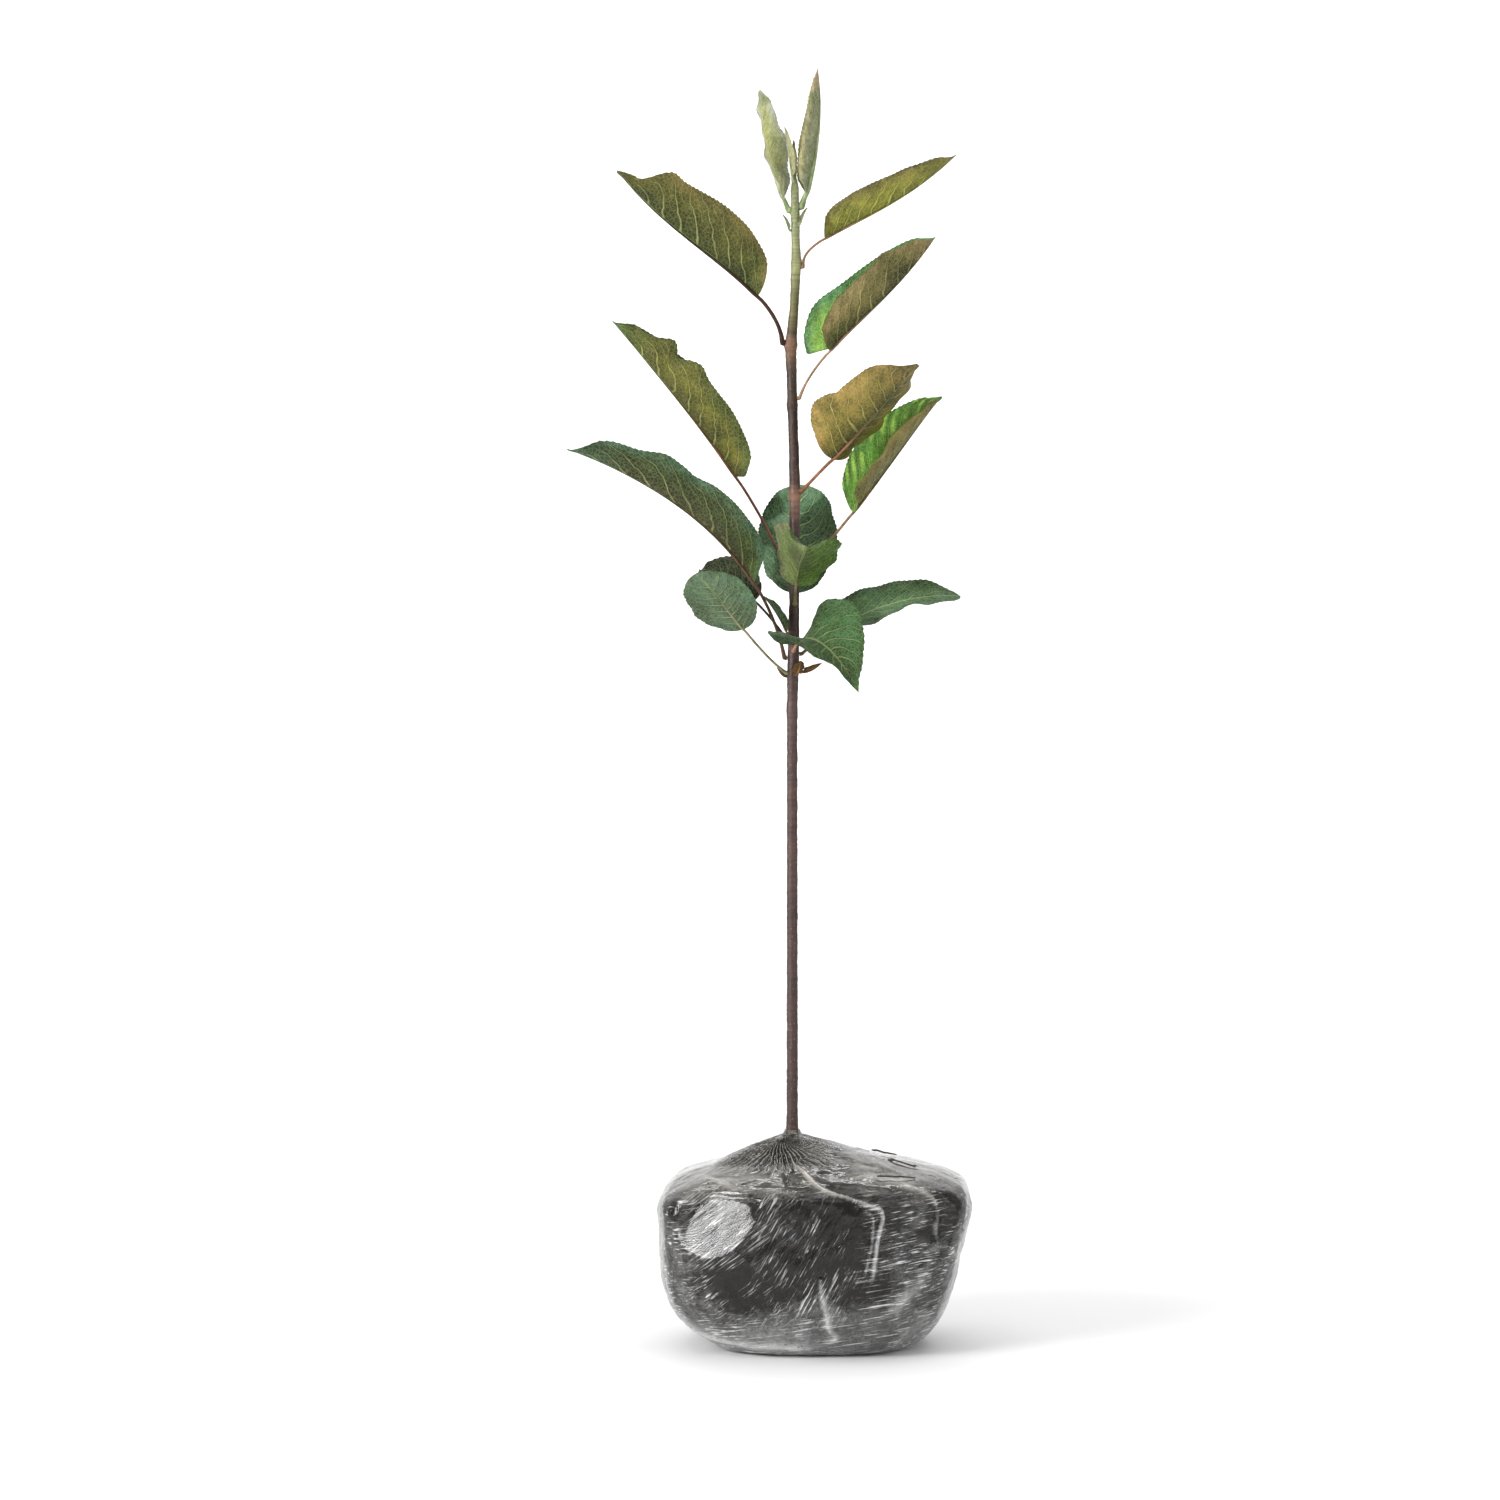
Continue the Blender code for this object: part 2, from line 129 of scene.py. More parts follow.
def tubeShell(path, radius, sides, tint, squash=1.0):
    # a round skin along a path, closed at both ends; tint is one colour or one for each station
    path = np.asarray(path, float)
    radius = np.broadcast_to(np.asarray(radius, float), len(path))
    along = unit(np.gradient(path, axis=0))
    side = unit(np.cross(along[0], (0.31, 0.92, 0.23)))
    rings = []
    for point, direction, r in zip(path, along, radius):
        side = unit(side - direction * side.dot(direction))
        up = np.cross(direction, side)
        turn = np.linspace(0, 2 * math.pi, sides, endpoint=False)[:, None]
        rings.append(point + side * np.cos(turn) * r + up * np.sin(turn) * r * squash)
    count = len(path)
    points = np.concatenate(rings + [path[:1], path[-1:]])
    first, last = count * sides, count * sides + 1
    spin = np.arange(sides)
    nextSpin = (spin + 1) % sides
    startCap = np.stack([np.full(sides, first), nextSpin, spin], -1)
    endCap = np.stack([np.full(sides, last), (count - 1) * sides + spin, (count - 1) * sides + nextSpin], -1)
    tint = np.broadcast_to(np.asarray(tint, float), (count, 3))
    tints = np.concatenate([np.repeat(tint, sides, axis=0), tint[:1], tint[-1:]])
    share = np.repeat(np.linspace(0, 1, count), sides)
    shares = np.zeros((len(points), 3))
    shares[: len(share), 0] = share
    shares[:, 2] = 2
    return shellOf(points, gridFaces(count, sides), np.concatenate([startCap, endCap]),
                   tint=tints, share=shares, place=points.copy())


# small tools for materials

def newMaterial(name):
    material = bpy.data.materials.new(name)
    material.use_nodes = True
    tree = material.node_tree
    return material, tree, tree.nodes["Principled BSDF"]


def addNode(tree, kind, inputs=None, **settings):
    made = tree.nodes.new(kind)
    for key, value in settings.items():
        setattr(made, key, value)
    for key, value in (inputs or {}).items():
        if isinstance(value, bpy.types.NodeSocket):
            tree.links.new(value, made.inputs[key])
        else:
            made.inputs[key].default_value = value
    return made


def maths(tree, operation, first, second=0.0, third=0.0):
    inputs = {0: first, 1: second}
    if operation in ("MULTIPLY_ADD", "SMOOTH_MIN", "WRAP"):
        inputs[2] = third
    return addNode(tree, "ShaderNodeMath", inputs, operation=operation).outputs[0]


def ramp(tree, value, fromLow, fromHigh, toLow=0.0, toHigh=1.0):
    made = addNode(tree, "ShaderNodeMapRange", {0: value, 1: fromLow, 2: fromHigh, 3: toLow, 4: toHigh},
                   interpolation_type="SMOOTHSTEP")
    return made.outputs[0]


def mixColour(tree, share, first, second, blend="MIX"):
    made = addNode(tree, "ShaderNodeMix", {0: share, 6: first, 7: second}, data_type="RGBA", blend_type=blend)
    return made.outputs[2]


def attribute(tree, name):
    return addNode(tree, "ShaderNodeAttribute", attribute_name=name, attribute_type="GEOMETRY")


def noiseAt(tree, vector, scale, detail=3.0, roughness=0.55):
    made = addNode(tree, "ShaderNodeTexNoise",
                   {"Vector": vector, "Scale": scale, "Detail": detail, "Roughness": roughness})
    return made.outputs[0]


def bumpOf(tree, height, strength, distance):
    return addNode(tree, "ShaderNodeBump",
                   {"Height": height, "Strength": strength, "Distance": distance}).outputs[0]


# stem; its middle line and its radius are read from the CAD's rings

stemPoints = nodePoints("stem_and_roots")
above = stemPoints
levels = np.unique(np.round(above[:, 2], 5))
rings = [above[np.abs(above[:, 2] - z) < 2e-5] for z in levels]
levels = np.array([ring[:, 2].mean() for ring in rings if len(ring) >= 6])
centres = np.array([ring[:, 0].mean() for ring in rings if len(ring) >= 6])
radii = np.array([np.hypot(ring[:, 0] - ring[:, 0].mean(), ring[:, 1]).max() for ring in rings if len(ring) >= 6])


def stemX(z):
    return np.interp(z, levels, centres)


def stemRadius(z):
    return np.interp(z, levels, radii)


# leaf skin

leafSkin = dict(
    veinPairs=9.0,
    veinWidth=0.095,    # of the space between two veins
    netCells=520.0,      # cells of fine veins to the metre
    fineCells=1250.0,
    roughness=0.46,
    specular=0.18,
)


def makeLeafMaterial(name, look, veinGlow, netGlow, sheen=0.0, roughness=None):
    material, tree, shader = newMaterial(name)
    tint = attribute(tree, "tint").outputs["Color"]
    share = addNode(tree, "ShaderNodeSeparateXYZ", {0: attribute(tree, "share").outputs["Vector"]})
    place = attribute(tree, "place").outputs["Vector"]
    along, across, side = share.outputs
    under = maths(tree, "GREATER_THAN", side, 0.5)
    blade = maths(tree, "LESS_THAN", side, 1.5)
    reach = maths(tree, "ABSOLUTE", across)
    lean = maths(tree, "ADD", maths(tree, "MULTIPLY", reach, 0.17),
                 maths(tree, "MULTIPLY", maths(tree, "MULTIPLY", reach, reach), 0.12))
    offset = maths(tree, "MULTIPLY", maths(tree, "GREATER_THAN", across, 0.0), 0.35)
    wobble = maths(tree, "MULTIPLY", maths(tree, "SUBTRACT", noiseAt(tree, place, 75.0, 2.0), 0.5), 1.1)
    phase = maths(tree, "MULTIPLY", maths(tree, "SUBTRACT", along, lean), look["veinPairs"])
    phase = maths(tree, "ADD", maths(tree, "ADD", phase, offset), wobble)
    away = maths(tree, "ABSOLUTE", maths(tree, "SUBTRACT", maths(tree, "FRACT", phase), 0.5))
    line = maths(tree, "SUBTRACT", 0.5, away)  # 0 on a vein, 0.5 half way to the next
    width = maths(tree, "MULTIPLY", maths(tree, "SUBTRACT", 1.25, reach), look["veinWidth"])
    veins = maths(tree, "SUBTRACT", 1.0, maths(tree, "DIVIDE", line, width))
    veins = ramp(tree, veins, 0.0, 0.9)
    fork = maths(tree, "ABSOLUTE", maths(tree, "SUBTRACT", maths(tree, "FRACT", maths(tree, "MULTIPLY", phase, 2.0)), 0.5))
    fork = maths(tree, "SUBTRACT", 1.0, maths(tree, "DIVIDE", maths(tree, "SUBTRACT", 0.5, fork), width))
    fork = maths(tree, "MULTIPLY", ramp(tree, fork, 0.0, 0.9, 0.0, 0.7), ramp(tree, reach, 0.42, 0.62))
    veins = maths(tree, "MAXIMUM", veins, fork)
    veins = maths(tree, "MULTIPLY", veins, ramp(tree, noiseAt(tree, place, 110.0, 2.0), 0.28, 0.6, 0.5, 1.0))
    middle = ramp(tree, reach, 0.045, 0.015)
    veins = maths(tree, "MULTIPLY", maths(tree, "MAXIMUM", veins, middle), blade)
    net = addNode(tree, "ShaderNodeTexVoronoi", {"Vector": place, "Scale": look["netCells"]},
                  feature="DISTANCE_TO_EDGE").outputs[0]
    net = maths(tree, "MULTIPLY", ramp(tree, net, 0.13, 0.02), blade)
    cells = addNode(tree, "ShaderNodeTexVoronoi", {"Vector": place, "Scale": look["netCells"]}).outputs[0]
    fine = addNode(tree, "ShaderNodeTexVoronoi", {"Vector": place, "Scale": look["fineCells"]},
                   feature="DISTANCE_TO_EDGE").outputs[0]
    fine = maths(tree, "MULTIPLY", ramp(tree, fine, 0.20, 0.04), blade)
    broad = noiseAt(tree, place, 120.0, 4.0)
    mottled = mixColour(tree, ramp(tree, broad, 0.32, 0.70), tint,
                        mixColour(tree, 1.0, tint, (0.42, 0.50, 0.38, 1), "MULTIPLY"))
    mottled = mixColour(tree, ramp(tree, cells, 0.65, 0.1, 0.0, 0.50), mottled,
                        mixColour(tree, 1.0, mottled, (0.50, 0.56, 0.50, 1), "MULTIPLY"))
    pale = mixColour(tree, 0.40, mixColour(tree, 1.0, tint, (1.7, 1.7, 1.5, 1), "MULTIPLY"), (0.56, 0.57, 0.24, 1))
    veined = mixColour(tree, maths(tree, "MULTIPLY", veins, veinGlow), mottled, pale)
    netted = mixColour(tree, maths(tree, "MULTIPLY", net, netGlow), veined, pale)
    netted = mixColour(tree, maths(tree, "MULTIPLY", fine, netGlow * 0.45), netted, pale)
    # painted shade: the skin is darkened beside every vein, standing in for the shade in the furrows of the quilted
    # blade
    veinGrooveShade = ramp(tree, maths(tree, "DIVIDE", line, width), 1.0, 2.6, 0.30, 0.0)  # dark beside a vein
    netted = mixColour(tree, maths(tree, "MULTIPLY", veinGrooveShade, maths(tree, "SUBTRACT", blade, veins)), netted,
                       mixColour(tree, 1.0, netted, (0.30, 0.36, 0.28, 1), "MULTIPLY"))
    tree.links.new(netted, shader.inputs["Base Color"])
    sign = maths(tree, "MULTIPLY_ADD", under, 2.0, -1.0)
    relief = maths(tree, "MULTIPLY", maths(tree, "ADD", maths(tree, "MULTIPLY", veins, 1.0),
                                          maths(tree, "MULTIPLY_ADD", net, 0.45,
                                                maths(tree, "MULTIPLY", fine, 0.2))), sign)
    relief = maths(tree, "MULTIPLY_ADD", noiseAt(tree, place, 900.0, 3.0), 0.5, relief)
    tree.links.new(bumpOf(tree, relief, 0.8, 0.0006), shader.inputs["Normal"])
    gloss = ramp(tree, noiseAt(tree, place, 260.0, 3.0), 0.3, 0.7, look["roughness"] - 0.07, look["roughness"] + 0.12)
    if roughness:
        gloss = ramp(tree, noiseAt(tree, place, 260.0, 3.0), 0.3, 0.7, roughness - 0.05, roughness + 0.1)
    tree.links.new(gloss, shader.inputs["Roughness"])
    shader.inputs["Sheen Weight"].default_value = sheen
    shader.inputs["Specular IOR Level"].default_value = look["specular"]
    return material


grownLeaf = makeLeafMaterial("grown_leaf", leafSkin, 1.0, 0.30)
softLeaf = makeLeafMaterial("young_leaf_skin", leafSkin, 0.75, 0.22, sheen=0.35, roughness=0.62)
budScale = makeLeafMaterial("bud_scale_skin", leafSkin, 0.15, 0.10, roughness=0.7)
print("leaf skins made")


# leaves; the shape shares are the CAD's, the foot and the tip are read from each node

upperGreen = dict(main=(74, 112, 48), rib=(88, 118, 52), edge=(66, 100, 50), base=(84, 120, 50), tip=(72, 108, 52))
leaves = {
    "leaf_upper_right": dict(
        bends=((0.08, 0.16, 0), (0.50, -0.08, 0)), blade=0.33, halfWidth=17, rises=(66, 52), stalk=0.8, taper=0.7,
        twist=8, cup=14, wave=1.1, seed=1,
        under=dict(main=(150, 144, 60), rib=(121, 121, 47), edge=(115, 101, 66), base=(147, 148, 75), tip=(134, 125, 70)),
        upper=dict(main=(127, 132, 75), rib=(124, 131, 83), edge=(115, 106, 80), base=(127, 134, 84), tip=(127, 121, 83)),
        stem=(160, 118, 98)),
    # leaf_upper_left: its dark rib colours are painted shade, darkening the blade along its midrib
    "leaf_upper_left": dict(
        bends=((0.20, 0.16, 0), (0.62, -0.05, 0)), blade=0.28, halfWidth=26, rises=(76, 46), stalk=1.2, taper=0.62,
        twist=-6, cup=16, wave=1.2, seed=2,
        bulges=((0, 0.90, 0.05, -0.50), (0, 0.79, 0.06, 0.16), (0, 0.96, 0.04, -0.35), (1, 0.92, 0.06, -0.4)),
        under=dict(main=(85, 83, 33), rib=(36, 48, 13), edge=(113, 98, 53), base=(62, 75, 24), tip=(85, 80, 31)),
        upper=dict(main=(58, 72, 28), rib=(41, 53, 18), edge=(94, 81, 43), base=(59, 78, 31), tip=(76, 72, 33)),
        stem=(74, 48, 38)),
    "leaf_second_right": dict(
        bends=((0.25, 0.10, 0), (0.62, -0.05, 0)), blade=0.31, halfWidth=21, rises=(84, 48), stalk=0.8, taper=0.62,
        twist=-10, cup=12, wave=1.0, seed=3, lobes=(15, 2), bulges=((0, 0.22, 0.15, 0.25), (1, 0.72, 0.06, 0.12)),
        under=dict(main=(130, 117, 72), rib=(64, 63, 35), edge=(156, 135, 96), base=(110, 119, 67), tip=(128, 109, 76)),
        upper=dict(main=(136, 182, 76), rib=(86, 118, 49), edge=(74, 133, 96), base=(145, 188, 86), tip=(100, 145, 86)),
        stem=(188, 152, 128)),
    "leaf_middle_left": dict(
        bends=((0.30, 0.08, 0.04), (0.60, 0.04, 0.02)), blade=0.38, halfWidth=23, rises=(50, 62), stalk=0.9,
        taper=0.62, twist=8, cup=20, wave=1.2, seed=4, lobes=(6, 0),
        bulges=((0, 0.60, 0.05, 0.14), (0, 0.69, 0.03, -0.16), (0, 0.77, 0.04, 0.22), (0, 0.87, 0.04, -0.12)),
        under=dict(main=(108, 104, 40), rib=(69, 67, 23), edge=(63, 78, 37), base=(59, 61, 24), tip=(64, 100, 44)),
        upper=dict(main=(75, 94, 44), rib=(72, 84, 39), edge=(54, 78, 38), base=(59, 71, 32), tip=(60, 100, 47)),
        stem=(150, 100, 82)),
    "leaf_third_right": dict(
        bends=((0.30, 0.0, 0), (0.65, -0.05, 0)), blade=0.28, halfWidth=28, rises=(16, 38), stalk=1.0, taper=0.62,
        twist=14, cup=22, wave=1.6, seed=5, bulges=((1, 0.50, 0.045, -0.06), (1, 0.28, 0.15, 0.20), (1, 0.82, 0.10, 0.14)),
        under=dict(main=(135, 117, 56), rib=(64, 60, 15), edge=(179, 146, 85), base=(102, 90, 37), tip=(128, 105, 63)),
        upper=dict(main=(87, 99, 38), rib=(70, 70, 28), edge=(135, 112, 63), base=(87, 97, 38), tip=(109, 97, 52)),
        stem=(158, 108, 82)),
    "leaf_fourth_right": dict(
        bends=((0.32, -0.03, 0), (0.66, 0.0, 0)), blade=0.36, halfWidth=22, rises=(66, 22), stalk=0.9, taper=0.7,
        twist=0, cup=10, wave=1.0, seed=6, stripe=(168, 214, 96),
        under=dict(main=(117, 104, 46), rib=(84, 80, 33), edge=(141, 122, 62), base=(101, 98, 43), tip=(110, 98, 48)),
        upper=dict(main=(94, 147, 51), rib=(119, 157, 68), edge=(66, 122, 46), base=(81, 135, 46), tip=(68, 110, 48)),
        stem=(158, 128, 102)),
    "leaf_lower_left": dict(
        bends=((0.20, 0.14, 0), (0.52, 0.21, 0)), blade=0.34, halfWidth=24, rises=(54, 58), stalk=1.0, taper=0.7,
        twist=10, cup=16, wave=1.2, seed=7,
        bulges=((0, 0.55, 0.05, -0.12), (0, 0.70, 0.06, 0.16), (0, 0.90, 0.08, 0.30), (1, 0.62, 0.06, -0.10)),
        under=dict(main=(41, 57, 25), rib=(53, 48, 30), edge=(59, 100, 79), base=(81, 111, 46), tip=(48, 89, 72)),
        upper=dict(main=(33, 52, 29), rib=(47, 56, 30), edge=(48, 88, 63), base=(65, 94, 46), tip=(43, 77, 59)),
        stem=(118, 86, 70)),
    # leaf_back: the dark base, the light tip and the pale patch of its upper side are painted light and shade, a lit
    # top over a shaded band
    "leaf_back": dict(
        bends=((0.2, 0.04, 0), (0.65, -0.02, 0)), blade=0.2, halfWidth=22, rises=(14, 14), stalk=0.9, taper=0.5,
        twist=0, cup=26, wave=1.0, seed=8, pale=(124, 166, 134),
        under=dict(main=(53, 99, 62), rib=(57, 95, 57), edge=(52, 96, 60), base=(60, 102, 63), tip=(59, 104, 68)),
        upper=dict(main=(32, 81, 54), rib=(33, 78, 51), edge=(30, 77, 53), base=(25, 67, 47), tip=(73, 128, 88)),
        stem=(112, 92, 74)),
    "leaf_back_left": dict(
        bends=((0.3, 0.10, 0), (0.65, 0.16, 0)), blade=0.45, halfWidth=15, rises=(20, 75), stalk=0.8, taper=0.7,
        twist=0, cup=16, wave=1.0, seed=9,
        under=dict(main=(8, 29, 25), rib=(10, 32, 26), edge=(6, 25, 22), base=(8, 28, 23), tip=(8, 29, 25)),
        upper=dict(main=(10, 34, 28), rib=(16, 42, 33), edge=(8, 31, 25), base=(10, 33, 26), tip=(10, 34, 28)),
        stem=(60, 56, 46)),
    "leaf_front": dict(
        bends=((0.14, 0.20, 0), (0.55, 0.12, 0)), blade=0.24, halfWidth=24, rises=(22, 60), stalk=0.8, taper=0.5,
        twist=0, cup=12, wave=0.9, seed=10,
        under=dict(main=(66, 101, 32), rib=(68, 97, 40), edge=(59, 100, 29), base=(93, 124, 59), tip=(70, 105, 33)),
        rightUnder=dict(main=(103, 121, 70), rib=(82, 99, 52), edge=(123, 121, 99), base=(108, 125, 77),
                        tip=(118, 125, 88)),
        upper=dict(main=(58, 96, 34), rib=(59, 90, 34), edge=(56, 92, 32), base=(75, 112, 44), tip=(61, 98, 35)),
        stem=(150, 140, 96)),
    "leaf_low_left": dict(
        bends=((0.3, -0.06, 0), (0.7, 0.02, 0)), blade=0.46, halfWidth=21, rises=(25, -25), stalk=0.8, taper=0.5,
        twist=0, cup=8, wave=0.6, seed=11,
        under=dict(main=(73, 99, 80), rib=(73, 97, 77), edge=(61, 90, 69), base=(67, 94, 74), tip=(70, 97, 77)),
        upper=dict(main=(42, 71, 43), rib=(45, 70, 45), edge=(39, 68, 42), base=(42, 71, 43), tip=(41, 68, 43)),
        stem=(150, 140, 112)),
    "leaf_low_front": dict(
        bends=((0.02, 0.30, 0), (0.50, 0.30, 0)), blade=0.14, halfWidth=30, rises=(46, 10), stalk=0.9, taper=1.25,
        twist=0, cup=8, wave=1.2, seed=12,
        under=dict(main=(60, 92, 67), rib=(62, 91, 64), edge=(57, 88, 65), base=(60, 92, 65), tip=(63, 94, 68)),
        upper=dict(main=(60, 105, 63), rib=(70, 109, 67), edge=(54, 97, 59), base=(63, 105, 53), tip=(72, 114, 72)),
        stem=(168, 128, 104)),
    "leaf_low_right": dict(
        bends=((0.25, 0.10, 0), (0.65, 0.16, 0)), blade=0.16, halfWidth=17, rises=(44, -14), stalk=0.8, taper=0.6,
        twist=-4, cup=10, wave=1.2, seed=13,
        under=dict(main=(68, 97, 62), rib=(70, 97, 64), edge=(62, 89, 60), base=(65, 93, 59), tip=(73, 102, 68)),
        upper=dict(main=(67, 110, 69), rib=(92, 128, 92), edge=(52, 89, 63), base=(51, 89, 58), tip=(74, 113, 82)),
        stem=(120, 110, 84)),
    # leaf_young_left: its upper colours are set near white as painted light, so the face turned from the lamps still
    # reads pale green
    "leaf_young_left": dict(
        bends=((0.3, -0.05, 0), (0.7, -0.08, 0)), blade=0.12, halfWidth=13.5, rises=(-18, 56), stalk=1.3, taper=0.62,
        twist=0, cup=8, wave=1.0, seed=14, young=True, bulges=((0, 0.62, 0.10, 0.10), (1, 0.55, 0.12, 0.12)),
        under=dict(main=(206, 212, 170), rib=(190, 200, 152), edge=(232, 226, 190), base=(214, 220, 178), tip=(216, 208, 176)),
        upper=dict(main=(255, 255, 196), rib=(255, 255, 165), edge=(255, 255, 255), base=(255, 255, 229), tip=(255, 255, 221)),
        stem=(182, 194, 142)),
    "leaf_young_right": dict(
        bends=((0.3, -0.06, 0), (0.7, -0.08, 0)), blade=0.10, halfWidth=10.5, rises=(52, 56), stalk=1.5, taper=0.8,
        twist=0, cup=14, wave=0.5, seed=15, young=True,
        under=dict(main=(181, 180, 142), rib=(161, 167, 126), edge=(249, 231, 174), base=(212, 215, 176), tip=(218, 180, 159)),
        upper=dict(main=(191, 194, 115), rib=(178, 182, 97), edge=(241, 227, 171), base=(203, 210, 150), tip=(203, 180, 142)),
        stem=(168, 182, 132)),
    "tip_leaflet_front": dict(
        bends=((0.3, 0.02, 0), (0.7, 0, 0)), blade=0.1, halfWidth=2.8, rises=(50, 50), stalk=0.6, taper=0.8,
        twist=0, cup=10, wave=0.2, seed=16, young=True,
        under=dict(main=(238, 231, 185), rib=(222, 220, 169), edge=(243, 222, 189), base=(220, 225, 169), tip=(209, 187, 160)),
        upper=dict(main=(220, 229, 147), rib=(214, 225, 135), edge=(231, 225, 169), base=(214, 225, 142), tip=(209, 198, 147)),
        stem=(190, 198, 150)),
    "tip_leaflet_back": dict(
        bends=((0.3, 0.02, 0), (0.7, 0, 0)), blade=0.1, halfWidth=2.6, rises=(50, 50), stalk=0.6, taper=0.8,
        twist=0, cup=10, wave=0.2, seed=17, young=True,
        under=dict(main=(239, 231, 179), rib=(228, 224, 168), edge=(246, 224, 186), base=(228, 229, 170), tip=(204, 177, 152)),
        upper=dict(main=(228, 236, 147), rib=(223, 231, 136), edge=(239, 231, 170), base=(223, 231, 142), tip=(216, 201, 147)),
        stem=(186, 194, 146)),
    "stipule_left": dict(
        bends=((0.3, 0.05, 0), (0.7, 0.05, 0)), blade=0.05, halfWidth=1.6, rises=(30, 30), stalk=0.5, taper=0.8,
        twist=0, cup=10, wave=0.1, seed=18, young=True,
        under=dict(main=(150, 158, 112), rib=(150, 158, 112), edge=(150, 148, 112), base=(160, 170, 120), tip=(120, 112, 84)),
        upper=dict(main=(160, 172, 110), rib=(160, 172, 110), edge=(150, 150, 110), base=(160, 172, 112), tip=(124, 116, 84)),
        stem=(160, 170, 122)),
    "stipule_right": dict(
        bends=((0.3, 0.05, 0), (0.7, 0.05, 0)), blade=0.05, halfWidth=1.6, rises=(30, 30), stalk=0.5, taper=0.8,
        twist=0, cup=10, wave=0.1, seed=19, young=True,
        under=dict(main=(142, 150, 108), rib=(142, 150, 108), edge=(140, 138, 104), base=(156, 166, 118), tip=(112, 104, 80)),
        upper=dict(main=(152, 164, 106), rib=(152, 164, 106), edge=(144, 144, 106), base=(152, 166, 110), tip=(116, 108, 80)),
        stem=(156, 166, 120)),
    "stipule_low": dict(
        bends=((0.3, 0.10, 0), (0.7, 0.08, 0)), blade=0.22, halfWidth=4.8, rises=(24, 40), stalk=0.7, taper=0.7,
        twist=0, cup=10, wave=0.4, seed=23,
        under=dict(main=(52, 78, 55), rib=(71, 95, 68), edge=(43, 68, 49), base=(59, 78, 50), tip=(50, 76, 55)),
        upper=dict(main=(43, 71, 49), rib=(64, 88, 61), edge=(38, 62, 43), base=(52, 75, 47), tip=(43, 71, 50)),
        stem=(120, 96, 76)),
    "bud_scale_right": dict(
        bends=((0.3, -0.12, 0), (0.7, -0.14, 0)), blade=0.05, halfWidth=4.4, rises=(30, 30), stalk=0.8, taper=0.8,
        twist=0, cup=24, wave=0.3, seed=20, scale=True,
        under=dict(main=(120, 80, 38), rib=(134, 92, 46), edge=(76, 50, 28), base=(96, 72, 34), tip=(70, 46, 28)),
        upper=dict(main=(150, 104, 52), rib=(150, 110, 60), edge=(96, 62, 34), base=(120, 92, 46), tip=(84, 56, 34)),
        stem=(100, 70, 40)),
    "bud_scale_front": dict(
        bends=((0.3, -0.12, 0), (0.7, -0.14, 0)), blade=0.05, halfWidth=4.0, rises=(30, 30), stalk=0.8, taper=0.8,
        twist=0, cup=24, wave=0.3, seed=21, scale=True,
        under=dict(main=(112, 74, 36), rib=(126, 88, 44), edge=(70, 48, 28), base=(92, 70, 34), tip=(64, 44, 28)),
        upper=dict(main=(140, 98, 50), rib=(144, 104, 56), edge=(90, 60, 34), base=(112, 86, 44), tip=(80, 54, 34)),
        stem=(96, 66, 38)),
    "bud_scale_left": dict(
        bends=((0.3, -0.12, 0), (0.7, -0.14, 0)), blade=0.05, halfWidth=2.4, rises=(30, 30), stalk=0.7, taper=0.8,
        twist=0, cup=24, wave=0.3, seed=22, scale=True,
        under=dict(main=(126, 84, 40), rib=(138, 96, 48), edge=(80, 54, 30), base=(100, 76, 36), tip=(72, 48, 30)),
        upper=dict(main=(150, 106, 54), rib=(150, 110, 60), edge=(96, 64, 36), base=(120, 92, 46), tip=(86, 58, 36)),
        stem=(104, 72, 40)),
}
leafMake = dict(
    stations=200,        # along a grown blade
    across=41,           # from margin to margin
    thickness=0.36,      # mm
    teeth=2.4,           # mm from one tooth to the next
    toothDepth=0.62,     # mm
    quilt=0.62,          # mm that the skin swells between two veins
    footReach=1.3,       # mm that a stalk runs on into the stem
    patchy=0.46,         # how far broad patches change the colour
)


def bezierAt(route, t):
    a, b, c, d = route
    t = np.asarray(t, float)[:, None]
    s = 1 - t
    return a * s**3 + b * 3 * s * s * t + c * 3 * s * t * t + d * t**3


def bezierAlong(route, t):
    a, b, c, d = route
    t = np.asarray(t, float)[:, None]
    s = 1 - t
    return unit((b - a) * s * s + (c - b) * 2 * s * t + (d - c) * t * t)


def footAndTip(name):
    points = nodePoints(name)
    fromAxis = np.hypot(points[:, 0] - stemX(points[:, 2]), points[:, 1])
    nearest = points[fromAxis.argmin()]
    foot = points[np.linalg.norm(points - nearest, axis=1) < 2.3 * mm].mean(axis=0)
    farthest = points[np.linalg.norm(points - foot, axis=1).argmax()]
    tip = points[np.linalg.norm(points - farthest, axis=1) < 1.2 * mm].mean(axis=0)
    return foot, tip


def bladeWidth(share, taper):
    peak = 0.5 / (0.5 + taper)
    inside = np.clip(share, 0, 1)
    return (inside / peak) ** 0.5 * ((1 - inside) / (1 - peak)) ** taper


def zoneColour(zones, along, reach, patch):
    # main colour, then its changes towards the midrib, the margin, the base and the tip; the rib and base colours are
    # partly the leaf's own colour and partly painted shade near the midrib and the base
    colour = np.broadcast_to(linear(zones["main"]), along.shape + (3,)).copy()
    for key, share in (
        ("base", 0.8 * smooth(0.24, 0.0, along + 0.25 * patch)),
        ("rib", 0.9 * np.exp(-((reach + 0.12 * patch) / 0.30) ** 2)),
        ("edge", 0.85 * smooth(0.55, 1.0, reach + 0.22 * patch)),
        ("tip", 0.9 * smooth(0.72, 1.0, along + 0.10 * patch)),
    ):
        colour += (linear(zones[key]) - colour) * share[..., None]
    return colour * (1 + leafMake["patchy"] * patch[..., None])


